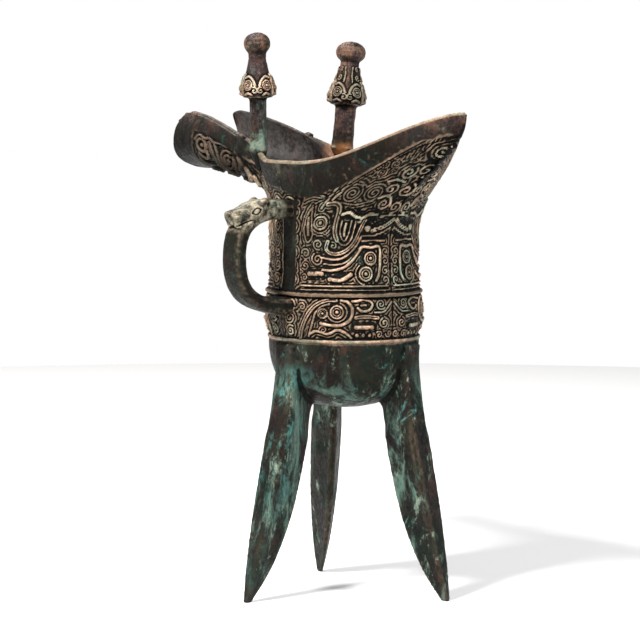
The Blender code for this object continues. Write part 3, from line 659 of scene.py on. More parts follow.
def tail_border(angles):
    """Depth of the plain border under the rim, in millimetres."""
    turned = np.degrees(turn_from_tail(angles))
    return 8.0 + 5.5 * smooth((turned - 8) / 60) - 4.0 * smooth((turned - 72) / 30)


def rounded_edge(distance):
    """How far a face draws back, in millimetres, at a distance from its rounded edge."""
    return EDGE_ROUND * (1 - np.sqrt(1 - np.clip(1 - distance / EDGE_ROUND, 0, 1) ** 2))


def add_ridge(relief, height, centre, half, rise):
    """Raises a rounded ridge that runs around the wall."""
    share = np.clip(1 - ((height - centre) / half) ** 2, 0, 1)
    return np.where(share > 0, np.maximum(relief, rise * share**0.5), relief)


# Making pieces from grids of points.


def grid_faces(rows, columns, wrap_rows):
    row, column = np.meshgrid(
        np.arange(rows if wrap_rows else rows - 1),
        np.arange(columns),
        indexing="ij",
    )
    next_row, next_column = (row + 1) % rows, (column + 1) % columns
    corners = [
        row * columns + column,
        row * columns + next_column,
        next_row * columns + next_column,
        next_row * columns + column,
    ]
    return np.stack(corners, -1).reshape(-1, 4)


def grid_normals(points, outward):
    """Unit normals of a grid of points that wraps round, turned to the side of outward."""
    along = np.gradient(points, axis=0)
    around = (np.roll(points, -1, axis=1) - np.roll(points, 1, axis=1)) / 2
    normals = unit(np.cross(around, along))
    flip = (normals * outward).sum(-1, keepdims=True) < 0
    return np.where(flip, -normals, normals)


def mesh_object(name, points, faces):
    mesh = bpy.data.meshes.new(name)
    mesh.from_pydata(np.asarray(points, float).reshape(-1, 3), [], faces)
    mesh.validate()
    made = bpy.data.objects.new(name, mesh)
    bpy.context.scene.collection.objects.link(made)
    return made


def turn_outwards(piece):
    builder = bmesh.new()
    builder.from_mesh(piece.data)
    bmesh.ops.recalc_face_normals(builder, faces=builder.faces)
    if builder.calc_volume(signed=True) < 0:
        bmesh.ops.reverse_faces(builder, faces=builder.faces)
    builder.to_mesh(piece.data)
    builder.free()


def edge_array(mesh):
    edges = np.empty(2 * len(mesh.edges), dtype=np.int64)
    mesh.edges.foreach_get("vertices", edges)
    return edges.reshape(-1, 2)


def vertex_array(mesh, what="co"):
    values = np.empty(3 * len(mesh.vertices))
    if what == "co":
        mesh.vertices.foreach_get("co", values)
    else:
        mesh.vertex_normals.foreach_get("vector", values)
    return values.reshape(-1, 3)


def relax(points, edges, passes, weight=0.5, mask=None):
    """Draws each point towards the mean of its neighbours."""
    first, second = edges.T
    count = len(points)
    valence = np.bincount(first, minlength=count) + np.bincount(second, minlength=count)
    valence = np.maximum(1, valence)
    share = weight if mask is None else weight * mask[:, None]
    for _ in range(passes):
        mean = np.empty_like(points)
        for i in range(points.shape[1]):
            total = np.bincount(first, points[second, i], count)
            total = total + np.bincount(second, points[first, i], count)
            mean[:, i] = total / valence
        points = points + share * (mean - points)
    return points


def mark(piece, name, values):
    """Keeps a value on each point of a piece, for its material."""
    attribute = piece.data.attributes.new(name, "FLOAT", "POINT")
    attribute.data.foreach_set("value", np.ascontiguousarray(values, dtype=np.float32).ravel())


def note_crests_and_hollows(piece):
    """Keeps on each point whether it is on a crest, 1, or in a hollow, -1, for the wear, the painted
    highlights and the painted shade of the patina; near the rim only the crown keeps it, for a thin
    painted highlight there.
    """
    mesh = piece.data
    points, normals, edges = vertex_array(mesh), vertex_array(mesh, "normal"), edge_array(mesh)
    bulge = ((points - relax(points, edges, CREST_PASSES)) * normals).sum(1) / CREST_DEPTH
    at_root = smooth(2 - np.abs(points[:, 0] + SPOUT_ROOT) / (0.5 * MM)) * (points[:, 2] > 0.158)
    at_divider = smooth(2 - np.abs(points[:, 2] - DIVIDER_HEIGHT) / (0.4 * MM))
    below_rim = rim_height(points[:, 0]) - points[:, 2]
    near_rim = smooth((4 * MM - below_rim) / MM) * smooth((below_rim + 1.5 * MM) / (0.5 * MM))
    off_crown = near_rim * (1 - 0.75 * smooth((0.8 * MM - below_rim) / (0.4 * MM)))
    at_nose = 0.7 * smooth((-points[:, 0] - SPOUT_LENGTH + 2 * MM) / (2 * MM))
    at_band = smooth(2 - np.abs(points[:, 2] - BAND_HEIGHT) / MM)
    bulge = np.clip(bulge, -1, 1) * (1 - off_crown) * (1 - at_nose)
    bulge = bulge * (1 - at_root) * (1 - 0.6 * at_divider) * (1 - 0.3 * at_band)
    mark(piece, "crest", bulge)


def finish_piece(piece, material, sharp_rows=(), columns=0):
    """Smooth shading, crest and hollow marks for the wear, painted highlights and painted shade, material,
    place and body.
    """
    mesh = piece.data
    turn_outwards(piece)
    mesh.shade_smooth()
    points = vertex_array(mesh)
    bumps = sum(rise * rough(points, size * MM, seed) for rise, size, seed in SURFACE_BUMPS)
    bumps = bumps * MM * (points[:, 2] >= MM)
    points = points + vertex_array(mesh, "normal") * bumps[:, None]
    mesh.vertices.foreach_set("co", points.ravel())
    mesh.update()
    if sharp_rows:
        edges = edge_array(mesh)
        rows = edges // columns
        sharp = (rows[:, 0] == rows[:, 1]) & np.isin(rows[:, 0], list(sharp_rows))
        attribute = mesh.attributes.new("sharp_edge", "BOOLEAN", "EDGE")
        attribute.data.foreach_set("value", sharp)
    note_crests_and_hollows(piece)
    points = np.clip(vertex_array(mesh) + AXIS, low_corner, high_corner)
    mesh.vertices.foreach_set("co", points.ravel())
    mesh.materials.clear()
    mesh.materials.append(material)
    mesh.update()
    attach(piece, "root")
    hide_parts("libation_cup")


# The bowl's wall.


def column_angles():
    """Angles round the bowl, even along each side, from the spout round by the handle and the tail."""
    return -np.pi + (np.arange(COLUMNS) + 0.5) * 2 * np.pi / COLUMNS


def make_band():
    """The lower band: a ring of wall with its relief and the ridges that bound it."""
    angles = column_angles()
    low = BAND_HEIGHT - 0.8 * MM
    heights = np.linspace(low, DIVIDER_HEIGHT, BAND_ROWS)
    outer = upright_points(angles, heights, 0.0)
    relief, _ = wall_relief(outer, angles)
    height = outer[..., 2] / MM
    relief = mix(0.0, relief, smooth((height - 103.4) / 0.8) * smooth((121.2 - height) / 0.8))
    relief = relief - 0.4 * np.exp(-(((height - 120.4) / 0.45) ** 2))
    relief = add_ridge(relief, height, 103.3, 0.9, 0.65)
    relief = add_ridge(relief, height, DIVIDER_HEIGHT / MM, *RIDGE)
    relief = relief - 1.2 * smooth((102.9 - height) / 1.2)
    normals = grid_normals(outer, outer * (1, 1, 0))
    outer = outer + normals * (relief * MM)[..., None]
    inner = upright_points(angles, np.linspace(DIVIDER_HEIGHT, low, LINING_ROWS), WALL)
    points = np.concatenate([outer, inner])
    rows = len(points)
    piece = mesh_object("lower_band", points, grid_faces(rows, COLUMNS, True))
    mark(piece, "fine", np.concatenate([fine_ground(relief), np.zeros(inner.shape[:2])]))
    return piece, (BAND_ROWS - 1, BAND_ROWS, 0, rows - 1)


def fine_ground(relief):
    """1 on the thin lines of the ground, 0 on the bold motifs that stand over them."""
    return 1 - smooth((relief + 0.12) / 0.4)


def make_upper_wall():
    """The main band, the flare and the rim: one ring from the divider up and down the inside."""
    angles = column_angles()
    heights = np.linspace(DIVIDER_HEIGHT, SHOULDER_HEIGHT, UPRIGHT_ROWS, endpoint=False)
    shares = np.linspace(0, 1, FLARE_ROWS)
    outer = np.concatenate([upright_points(angles, heights, 0.0), flare_points(angles, shares, 0.0)])
    relief, below_rim = wall_relief(outer, angles)
    fine = fine_ground(relief)
    height = outer[..., 2] / MM
    relief = mix(0.0, relief, smooth((height - 122.0) / 0.8))
    relief = add_ridge(relief, height, DIVIDER_HEIGHT / MM, *RIDGE)
    relief = relief - incised_lines(angles, below_rim)
    relief = relief - rounded_edge(below_rim) * on_rim(angles)
    normals = grid_normals(outer, outer * (1, 1, 0))
    outer = outer + normals * (relief * MM)[..., None]
    lining_heights = np.linspace(SHOULDER_HEIGHT, DIVIDER_HEIGHT, LINING_ROWS // 2)[1:]
    lining_shares = np.linspace(1, 0, LINING_ROWS * 2)
    inner = flare_points(angles, lining_shares, WALL)
    top = crown_rows(outer[-1], inner[0], angles)
    points = np.concatenate([outer, top, inner, upright_points(angles, lining_heights, WALL)])
    rows = len(points)
    piece = mesh_object("upper_wall", points, grid_faces(rows, COLUMNS, True))
    rest = np.zeros((rows - len(outer), COLUMNS))
    mark(piece, "fine", np.concatenate([fine, rest]))
    rest[2:] = 1
    mark(piece, "inside", np.concatenate([0 * fine, rest]))
    return piece, (0, rows - 1)


def on_rim(angles):
    """1 on the columns that end at the rim, 0 on those that run on into the spout."""
    return (turn_from_tail(angles) <= ROOT_ANGLE).astype(float)


def crown_rows(outer, inner, angles):
    """Two rows across the rim's thickness, which round its edge."""
    lift = np.array([0, 0, 0.35 * MM]) * on_rim(angles)[:, None]
    return np.array([mix(outer, inner, 0.3) + lift, mix(outer, inner, 0.7) + lift])


def incised_lines(angles, below_rim):
    """The double line cut along each side of the tail."""
    turned = np.degrees(turn_from_tail(angles))
    depth = np.zeros_like(below_rim)
    for offset in (0.0, 1.5):
        line = 7.6 + 0.17 * (turned - 12) + offset
        present = smooth((turned - 14) / 4) * smooth((70 - turned) / 6)
        depth += 0.45 * present * np.exp(-(((below_rim - line) / 0.42) ** 2))
    return depth


# The spout.


def make_spout():
    """The open spout: a U-shaped shell from the bowl's wall to its rounded nose."""
    along = smoothstep_rows(SPOUT_ROWS)
    around = np.linspace(-1, 1, SPOUT_COLUMNS)
    side = np.sign(around)
    outer = channel_point(along[:, None], np.abs(around)[None, :], 0.0)
    outer[..., 1] *= np.where(side == 0, 1, side)
    steps = np.linalg.norm(np.diff(outer, axis=1), axis=-1)
    arc = np.concatenate([np.zeros((len(along), 1)), np.cumsum(steps, axis=1)], axis=1)
    up = np.abs(arc - arc[:, -1:] / 2) / MM
    from_root = np.broadcast_to(along[:, None] * (SPOUT_LENGTH - SPOUT_ROOT) / MM, up.shape)
    half = arc[:, -1:] / 2 / MM
    sheet = Sheet(from_root / SPOUT_STRETCH, LIP_DISTANCE - (half - up))
    draw_spout(sheet)
    busy = smooth((half - SPOUT_BORDER - up) / 1.2) * smooth((31.5 - from_root) / 1.4)
    relief = mix(ROOT_LEVEL * busy, mix(0.0, sheet.fill_ground(0.25), busy), smooth(from_root / 1.2))
    fine = fine_ground(relief - 0.3)
    to_end = (1 - along[:, None]) * (SPOUT_LENGTH - SPOUT_ROOT) / MM
    relief = relief - rounded_edge(half - up) - rounded_edge(to_end)
    along_step = np.gradient(outer, axis=0)
    around_step = np.gradient(outer, axis=1)
    normals = unit(np.cross(around_step, along_step))
    middle = np.stack([outer[..., 0], 0 * outer[..., 1], np.full(outer.shape[:2], 0.185)], -1)
    flip = (normals * (outer - middle)).sum(-1, keepdims=True) < 0
    normals = np.where(flip, -normals, normals)
    outer = outer + normals * (relief * MM)[..., None]
    lining = np.linspace(1, -1, SPOUT_COLUMNS // 3)
    inner = channel_point(along[:, None], np.abs(lining)[None, :], WALL)
    inner[..., 1] *= np.where(np.sign(lining) == 0, 1, np.sign(lining))
    lift = np.array([0, 0, 0.35 * MM])
    near = [mix(outer[:, -1], inner[:, 0], share) + lift for share in (0.3, 0.7)]
    far = [mix(inner[:, -1], outer[:, 0], share) + lift for share in (0.3, 0.7)]
    loop = np.concatenate([outer, np.stack(near, 1), inner, np.stack(far, 1)], axis=1)
    rows, columns = loop.shape[:2]
    faces = grid_faces(rows, columns, False).tolist()
    count_outer, count_inner = SPOUT_COLUMNS, inner.shape[1]
    for row in (0, rows - 1):
        faces += end_faces(row * columns, columns, count_outer, count_inner)
    piece = mesh_object("spout", loop, faces)
    rest = np.zeros((rows, columns - SPOUT_COLUMNS))
    mark(piece, "fine", np.concatenate([fine, rest], axis=1))
    rest[:, 2:-2] = 1
    mark(piece, "inside", np.concatenate([0 * fine, rest], axis=1))
    return piece, columns


def end_faces(start, columns, count_outer, count_inner):
    """Faces across the shell's thickness at one end of the spout."""
    faces = []
    for i in range(count_inner - 1):
        first = round(i * (count_outer - 1) / (count_inner - 1))
        last = round((i + 1) * (count_outer - 1) / (count_inner - 1))
        outer = [start + k for k in range(first, last + 1)]
        inner = [start + count_outer + 2 + count_inner - 1 - k for k in (i + 1, i)]
        faces.append(outer + inner)
    first_far = start + columns - 1
    faces.append([start, start + count_outer + 1 + count_inner, first_far - 1, first_far])
    last_outer = start + count_outer - 1
    faces.append([last_outer, last_outer + 1, last_outer + 2, last_outer + 3])
    return faces


def smoothstep_rows(count):
    """Shares of the spout's length, closer together at its end."""
    share = np.linspace(0, 1, count)
    return 1 - (1 - share) ** 1.15


# The bowl's underside with the legs.


def loft_object(name, rings):
    rings = np.array(rings)
    rows, columns = rings.shape[:2]
    faces = grid_faces(rows, columns, False).tolist()
    faces.append(list(range(columns)))
    faces.append([(rows - 1) * columns + i for i in range(columns)][::-1])
    piece = mesh_object(name, rings, faces)
    turn_outwards(piece)
    return piece


def bottom_profile(inset, top, count):
    """Heights and shares of radius of the rounded underside, from near its pole up."""
    power = 2 / BOTTOM_FULLNESS
    turns = np.pi / 2 * (1 - np.arange(1, count + 1) / count)
    heights = top - (top - BOTTOM_HEIGHT - inset) * np.sin(turns) ** power
    return heights, np.cos(turns) ** power


def bottom_rings(inset, top, count, columns):
    angles = np.linspace(0, 2 * np.pi, columns, endpoint=False)
    profile = zip(*bottom_profile(inset, top, count))
    return [oval(angles, height, BOTTOM_RADIUS, inset) * (share, share, 1) for height, share in profile]


def leg_ring(angle, height):
    """One level of a leg: a flat outer face, two flanks and a narrow inner ridge."""
    local = np.linalg.norm(oval(angle, 0, BOTTOM_RADIUS, 0)) + LEG_PROUD
    drop = 1 - height / LEG_TOP
    outer = mix(local, FOOT_RADIUS, drop**LEG_CURVE * (1 + LEG_STRAIGHTENING * (1 - drop)))
    point = 1 - min(1.0, height / BOTTOM_HEIGHT)
    depth = LEG_DEPTH * mix(FOOT_TAPER, 1.0, 1 - point**DEPTH_TAPER)
    half = LEG_HALF_WIDTH * mix(FOOT_TAPER, 1.0, 1 - point**WIDTH_TAPER)
    section = np.array(
        [
            (outer, -0.82 * half),
            (outer, 0.82 * half),
            (outer - 0.13 * depth, half),
            (outer - depth, 0.2 * half),
            (outer - depth, -0.2 * half),
            (outer - 0.13 * depth, -half),
        ]
    )
    radial = np.array([math.cos(angle), math.sin(angle), 0])
    across = np.array([-math.sin(angle), math.cos(angle), 0])
    return section[:, :1] * radial + section[:, 1:] * across + np.array([0, 0, height])


def boolean(target, tool, operation):
    modifier = target.modifiers.new(tool.name, "BOOLEAN")
    modifier.object = tool
    modifier.operation = operation
    modifier.solver = "EXACT"
    apply_modifiers(target)
    bpy.data.objects.remove(tool)


def apply_modifiers(piece):
    bpy.context.view_layer.update()
    graph = bpy.context.evaluated_depsgraph_get()
    made = bpy.data.meshes.new_from_object(piece.evaluated_get(graph))
    piece.modifiers.clear()
    piece.data = made


def remesh(piece, voxel):
    modifier = piece.modifiers.new("remesh", "REMESH")
    modifier.mode = "VOXEL"
    modifier.voxel_size = voxel
    apply_modifiers(piece)


def make_lower_body():
    """The plain underside of the bowl and the three legs, blended where they meet."""
    top = BAND_HEIGHT + 0.6 * MM
    body = loft_object("lower_body", bottom_rings(0.0, top, 22, 96))
    for degrees in LEG_ANGLES:
        heights = LEG_TOP * np.linspace(0, 1, 56) ** 1.25
        rings = [leg_ring(math.radians(degrees), height) for height in heights]
        boolean(body, loft_object("leg", rings), "UNION")
    boolean(body, loft_object("hollow", bottom_rings(WALL, top + 0.02 * MM, 22, 96)), "DIFFERENCE")
    remesh(body, LEG_VOXEL)
    points, edges = vertex_array(body.data), edge_array(body.data)
    points = relax(points, edges, 2, 0.5, smooth(points[:, 2] / (6 * MM)))
    low = points[:, 2].min()
    points[:, 2] -= low * np.clip(1 - points[:, 2] / (8 * MM), 0, 1)
    radius = np.hypot(points[:, 0] / (1 + OVAL), points[:, 1] / (1 - OVAL))
    turned = np.degrees(np.arctan2(points[:, 1], points[:, 0]))
    off_leg = np.min([np.abs((turned - leg + 180) % 360 - 180) for leg in LEG_ANGLES], axis=0)
    aside = np.radians(off_leg) * np.maximum(radius, 0.012)
    under = smooth((points[:, 2] - 0.064) / 0.006) * smooth((0.1005 - points[:, 2]) / 0.008)
    outside = smooth((radius - 0.013) / 0.004)
    mask = under * outside * smooth((0.0125 - aside) / 0.004)
    inner_skin = (radius < BOTTOM_RADIUS - WALL * 0.5) & (points[:, 2] > BOTTOM_HEIGHT + WALL * 0.6)
    mask = np.where(inner_skin, 0.0, mask)
    points = relax(points, edges, 46, 0.6, mask)
    points[:, 2] = np.maximum(points[:, 2], 0.0)
    body.data.vertices.foreach_set("co", points.ravel())
    return body


# The handle with its beast's head.


def handle_course(steps):
    """Centre line of the strap from its upper to its lower root: distances from the axis, and heights."""
    inside = BODY_RADIUS * (1 - OVAL) - 0.4 * WALL
    reach, top, low = HANDLE_REACH, HANDLE_TOP_HEIGHT, HANDLE_LOW_HEIGHT
    waist = (reach, mix(low, top, 0.52))
    upper = [(inside, top), (mix(inside, reach, 0.75), top), (reach, mix(low, top, 0.86)), waist]
    lower = [waist, (reach, mix(low, top, 0.14)), (mix(inside, reach, 0.72), low), (inside, low)]
    first = [bezier(upper, i / steps) for i in range(steps)]
    return np.array(first + [bezier(lower, i / steps) for i in range(steps + 1)])


def section_ring(centre, normal, half_width, half_depth, square):
    """A rounded square across the handle, squarer as the last value falls."""
    turns = 2 * np.pi * (np.arange(SECTION_SIDES) + 0.5) / SECTION_SIDES
    across = np.sign(np.cos(turns)) * np.abs(np.cos(turns)) ** square * half_width
    out = np.sign(np.sin(turns)) * np.abs(np.sin(turns)) ** square * half_depth
    place = np.array(centre) + out[:, None] * np.array(normal)
    return np.stack([across, -place[:, 0], place[:, 1]], -1)


def make_strap():
    course = handle_course(20)
    ahead = np.gradient(course, axis=0)
    rings = []
    for i, (centre, step) in enumerate(zip(course, ahead)):
        normal = np.array([-step[1], step[0]]) / np.linalg.norm(step)
        flare = 1 + 0.25 * smooth((i - 33) / 7)
        half_width, half_depth = STRAP_HALF_WIDTH * flare, STRAP_HALF_DEPTH * flare
        rings.append(section_ring(centre, normal, half_width, half_depth, 0.55))
    return loft_object("handle", rings)


def head_place(share, side, lift):
    """A place on the head: share of the way from the bowl to the nose, and offsets in half sizes."""
    inside = BODY_RADIUS * (1 - OVAL)
    out = mix(inside, HANDLE_REACH + 0.7 * STRAP_HALF_DEPTH, share)
    return np.array([side * HEAD_HALF_WIDTH, -out, HANDLE_TOP_HEIGHT + lift * HEAD_HALF_DEPTH])


def make_head():
    """The head as a loft: each station's share of the way out, drop, width and depth in half sizes."""
    stations = (
        (-0.05, 0.1, 0.8, 0.95),
        (0.15, 0.1, 0.76, 0.9),
        (0.34, 0.15, 0.78, 0.9),
        (0.5, 0.12, 0.92, 0.95),
        (0.62, -0.05, 1.0, 0.92),
        (0.74, -0.3, 0.9, 0.8),
        (0.86, -0.48, 0.76, 0.74),
        (0.95, -0.58, 0.72, 0.7),
        (1.0, -0.66, 0.6, 0.56),
    )
    rings = []
    for share, drop, wide, deep in stations:
        centre = (-head_place(share, 0, 0)[1], HANDLE_TOP_HEIGHT + drop * HEAD_HALF_DEPTH)
        normal = np.array([0.35 * smooth(share), 1.0])
        normal = normal / np.linalg.norm(normal)
        rings.append(section_ring(centre, normal, wide * HEAD_HALF_WIDTH, deep * HEAD_HALF_DEPTH, 0.75))
    return loft_object("head", rings)


def make_ball(name, centre, radii, tilt):
    builder = bmesh.new()
    bmesh.ops.create_icosphere(builder, subdivisions=3, radius=1.0)
    cos, sin = math.cos(tilt), math.sin(tilt)
    for vertex in builder.verts:
        x, y, z = (vertex.co[i] * radii[i] for i in range(3))
        vertex.co = Vector((x, y * cos - z * sin, y * sin + z * cos)) + Vector(centre)
    mesh = bpy.data.meshes.new(name)
    builder.to_mesh(mesh)
    builder.free()
    ball = bpy.data.objects.new(name, mesh)
    bpy.context.scene.collection.objects.link(ball)
    return ball


def make_handle():
    handle = make_strap()
    boolean(handle, make_head(), "UNION")
    for side in (-1, 1):
        features = [
            ("ear", head_place(0.48, side * 0.6, 0.86), (1.5, 2.1, 1.5), 0.5),
            ("brow", head_place(0.63, side * 0.66, 0.5), (1.4, 2.8, 1.0), 0.25),
            ("nostril", head_place(0.97, side * 0.36, -0.22), (1.7, 1.5, 1.2), 0.0),
            ("cheek", head_place(0.66, side * 0.8, -0.45), (1.5, 3.2, 2.0), 0.15),
            ("jaw", head_place(0.88, side * 0.45, -1.05), (1.5, 2.8, 1.3), 0.4),
        ]
        if side > 0:
            features.append(("throat", head_place(0.66, 0, -0.7), (5.2, 7.0, 3.1), 0.35))
        for name, centre, radii, tilt in features:
            boolean(handle, make_ball(name, centre, [radius * MM for radius in radii], tilt), "UNION")
    remesh(handle, HANDLE_VOXEL)
    points, edges = vertex_array(handle.data), edge_array(handle.data)
    points = relax(points, edges, 6)
    points = carve_head(points)
    points = relax(points, edges, 1)
    handle.data.vertices.foreach_set("co", points.ravel())
    return handle


def carve_head(points):
    """Cuts eyes and a mouth into the head."""
    side = np.where(points[:, 0] < 0, -1.0, 1.0)
    eye = head_place(0.66, 0.9, 0.02)
    along = (-points[:, 1] + eye[1]) / MM
    up = (points[:, 2] - eye[2]) / MM + 0.3 * along
    lozenge = (np.abs(along) / 2.7) ** 1.4 + (np.abs(up) / 1.7) ** 1.4
    flank = smooth((np.abs(points[:, 0]) - 2.6 * MM) / (1.2 * MM)) * (points[:, 2] > 0.149)
    rim = 0.3 * np.exp(-(((lozenge - 1.0) / 0.2) ** 2))
    pupil = 0.6 * np.exp(-((np.hypot(along, up) / 0.8) ** 2))
    socket = -0.4 * np.exp(-(((lozenge - 0.62) / 0.2) ** 2))
    shift = (rim + pupil + socket) * flank
    mouth_line = (points[:, 2] - (HANDLE_TOP_HEIGHT - 3.2 * MM)) / MM + 0.42 * (along - 2)
    mouth = -0.7 * np.exp(-((mouth_line / 0.35) ** 2)) * smooth((along - 1.0) / 2)
    shift = shift + mouth * (points[:, 2] > 0.147)
    points = points.copy()
    points[:, 0] += side * shift * MM
    return points


# The posts with their caps.


def make_post(which, side):
    """A flat-sided post that straddles the rim, under a bell-shaped cap with small beast masks."""
    radius, top = POST_RADII[which], RIM_HEIGHT + POST_RISES[which]
    cap, knob = CAP_RADII[which], KNOB_RADII[which]
    base_y = rim_half_width(np.array(-POST_OFFSET)) - WALL / 2
    rim = float(rim_height(np.array(-POST_OFFSET)))
    skirt = top - CAP_HEIGHT
    outline = np.array(
        [
            (rim - POST_FOOT, 0.3 * WALL),
            (rim - 0.55 * POST_FOOT, 0.5 * radius),
            (rim - 0.2 * POST_FOOT, 0.85 * radius),
            (rim + 0.5 * MM, 1.1 * radius),
            (rim + 2.6 * MM, 1.03 * radius),
            (rim + 5.0 * MM, radius),
            (mix(rim, skirt, 0.6), 0.97 * radius),
            (skirt - 0.4 * MM, radius),
            (skirt + 0.2 * MM, 1.05 * radius),
            (skirt + 0.3 * MM, 0.66 * cap),
            (skirt + 0.5 * MM, 0.84 * cap),
            (skirt + 0.07 * CAP_HEIGHT, 0.95 * cap),
            (skirt + 0.13 * CAP_HEIGHT, 0.985 * cap),
            (skirt + 0.2 * CAP_HEIGHT, 0.93 * cap),
            (skirt + 0.3 * CAP_HEIGHT, 0.8 * cap),
            (skirt + 0.45 * CAP_HEIGHT, 0.64 * cap),
            (skirt + 0.6 * CAP_HEIGHT, 0.53 * cap),
            (skirt + 0.68 * CAP_HEIGHT, 0.49 * cap),
            (skirt + 0.705 * CAP_HEIGHT, 0.55 * cap),
            (skirt + 0.73 * CAP_HEIGHT, 0.82 * knob),
            (skirt + 0.78 * CAP_HEIGHT, 0.96 * knob),
            (skirt + 0.85 * CAP_HEIGHT, 0.985 * knob),
            (skirt + 0.91 * CAP_HEIGHT, 0.9 * knob),
            (skirt + 0.96 * CAP_HEIGHT, 0.68 * knob),
            (top - 0.25 * MM, 0.36 * knob),
            (top, 0.05 * knob),
        ]
    )
    lengths = np.concatenate([[0], np.cumsum(np.linalg.norm(np.diff(outline, axis=0), axis=1))])
    samples = np.linspace(0, lengths[-1], POST_ROWS)
    heights, sizes = (soften(np.interp(samples, lengths, outline[:, i])) for i in (0, 1))
    turns = np.linspace(0, 2 * np.pi, POST_COLUMNS, endpoint=False)
    lean = math.radians(POST_LEANS[which])
    shaft = smooth((skirt - heights) / (2 * MM))
    squared = 1 + 0.09 * shaft[:, None] * np.cos(4 * turns)[None, :]
    relief = cap_relief(heights, turns, skirt, which)
    size = sizes[:, None] / np.maximum(1.0, squared.max()) * squared + relief
    x = size * np.cos(turns) - POST_OFFSET
    out = size * np.sin(turns) * side
    rise = (heights - rim)[:, None]
    y = side * (base_y + out * math.cos(lean) + rise * math.sin(lean))
    z = rim + rise * math.cos(lean) - out * math.sin(lean)
    return loft_object(f"post_{which}", np.stack([x, y, z], -1))


def soften(values):
    """Rounds the corners of a row of values and keeps its ends."""
    for _ in range(6):
        inner = (values[:-2] + 2 * values[1:-1] + values[2:]) / 4
        values = np.concatenate([values[:1], inner, values[-1:]])
    return values


def cap_relief(heights, turns, skirt, which):
    """Ring eyes, scrolls and a toothed lower edge on a cap."""
    up = np.broadcast_to(((heights - skirt) / MM)[:, None], (len(heights), len(turns)))
    masks = 3
    wide = 15.0
    across = ((np.degrees(turns) + 36.0) % (360 / masks) - 180 / masks) / (180 / masks) * wide / 2
    sheet = Sheet(np.abs(np.broadcast_to(across[None, :], up.shape)), up)
    sheet.eye((3.3, 5.4), 1.9)
    sheet.band([(0.0, 1.8), (0.0, 6.4), (0.0, 9.4)], 1.9, 1.4)
    sheet.band([(1.2, 8.4), (3.2, 8.9), (5.4, 7.6), (6.6, 5.2)], 1.2, 1.2)
    sheet.spiral((6.3, 3.2), 1.4, 1.3, 1, 0, 1.0)
    sheet.band([(1.6, 1.6), (3.6, 2.2), (5.2, 1.5)], 1.0, 1.1)
    if which:
        sheet.spiral((2.2, 11.6), 1.4, 1.4, -1, 0, 0.9)
        sheet.spiral((2.0, 14.8), 1.1, 1.3, 1, 0, 0.7)
        sheet.band([(5.2, 9.6), (5.4, 12.4), (5.0, 15.6)], 0.9, 0.7)
    zone = smooth((up - 0.6) / 0.8) * smooth((17.0 - up) / 1.0)
    lobes = 0.4 * np.cos(2 * np.pi * across / wide + np.pi)[None, :]
    lobes = lobes * smooth(up / 2) * smooth((8 - up) / 4)
    carved = (sheet.height - GROUND * 0.7) * mix(0.85, 1.0, rough(np.stack([up, up, up], -1), 1.5, 4))
    return (mix(0.0, carved, zone) + lobes) * MM


# The patina, with painted highlights and painted shade.


# Parts of the cup, by axis and the two places that a soft mask rises between, in metres.
ZONES = {
    "plain": (("Z", 0.104, 0.101),),
    "legs": (("Z", 0.096, 0.078),),
    # The rear leg, which gets painted shade:
    "shaded_rear_leg": (("Z", 0.096, 0.078), ("X", -0.006, -0.014)),
    "handle_leg": (("Z", 0.095, 0.086), ("Y", -0.008, -0.018)),
    "over_feet": (("Z", 0.03, 0.07),),
    "posts": (("Z", 0.176, 0.196),),
    "far_cap": (("Z", 0.176, 0.196), ("Y", 0.02, 0.024)),
    "spout": (("X", -0.026, -0.034), ("Z", 0.153, 0.158)),
    "handle": (("Y", -0.0185, -0.0225),),
}
# The spout's underside, where painted shade goes:
ZONES["shaded_spout_underside"] = ZONES["spout"] + (("Z", 0.176, 0.169),)
ZONES["head"] = ZONES["handle"] + (("Z", 0.1455, 0.149),)
ZONES["near_shaft"] = (
    ("X", -0.034, -0.03),
    ("X", -0.006, -0.01),
    ("Y", 0.0, -0.002),
    ("Z", 0.175, 0.178),
    ("Z", 0.202, 0.198),
)
ZONES["near_foot"] = ZONES["near_shaft"] + (("Z", 0.186, 0.18),)
ZONES["far_foot"] = (
    ("X", -0.031, -0.027),
    ("X", -0.004, -0.01),
    ("Y", 0.026, 0.031),
    ("Y", 0.0405, 0.038),
    ("Z", 0.168, 0.172),
    ("Z", 0.181, 0.176),
)

DARK_BRONZE = (0.0034, 0.0029, 0.0023)
BROWN_BRONZE = (0.0125, 0.0088, 0.0062)
OLIVE_FILM = (0.0135, 0.0148, 0.0085)
DARK_GREEN = (0.006, 0.0115, 0.008)
INNER_PALE_GREY = (0.115, 0.1, 0.096)
SEA_GREEN = (0.085, 0.145, 0.115)
TURQUOISE = (0.085, 0.25, 0.22)
CUPRITE = (0.07, 0.026, 0.018)
PURPLE_FILM = (0.034, 0.022, 0.023)
# Colours of the wear with a painted highlight on the crests:
RUBBED_BRONZE_HIGHLIGHT = (0.56, 0.38, 0.265)
WORN_BROWN_HIGHLIGHT = (0.2, 0.135, 0.088)
COPPER = (0.15, 0.075, 0.05)
ORANGE_CRUST = (0.5, 0.2, 0.07)
# Cream crust with a painted highlight, on the head:
CREAM_CRUST_HIGHLIGHT = (0.5, 0.47, 0.34)
# A pale soil colour in the painted sheen on the crests:
PALE_SOIL_SHEEN = (0.44, 0.39, 0.28)
PALE_MINT = (0.26, 0.33, 0.25)
# Near black for the painted shade in the hollows:
HOLLOW_SHADE = (0.0022, 0.002, 0.0017)


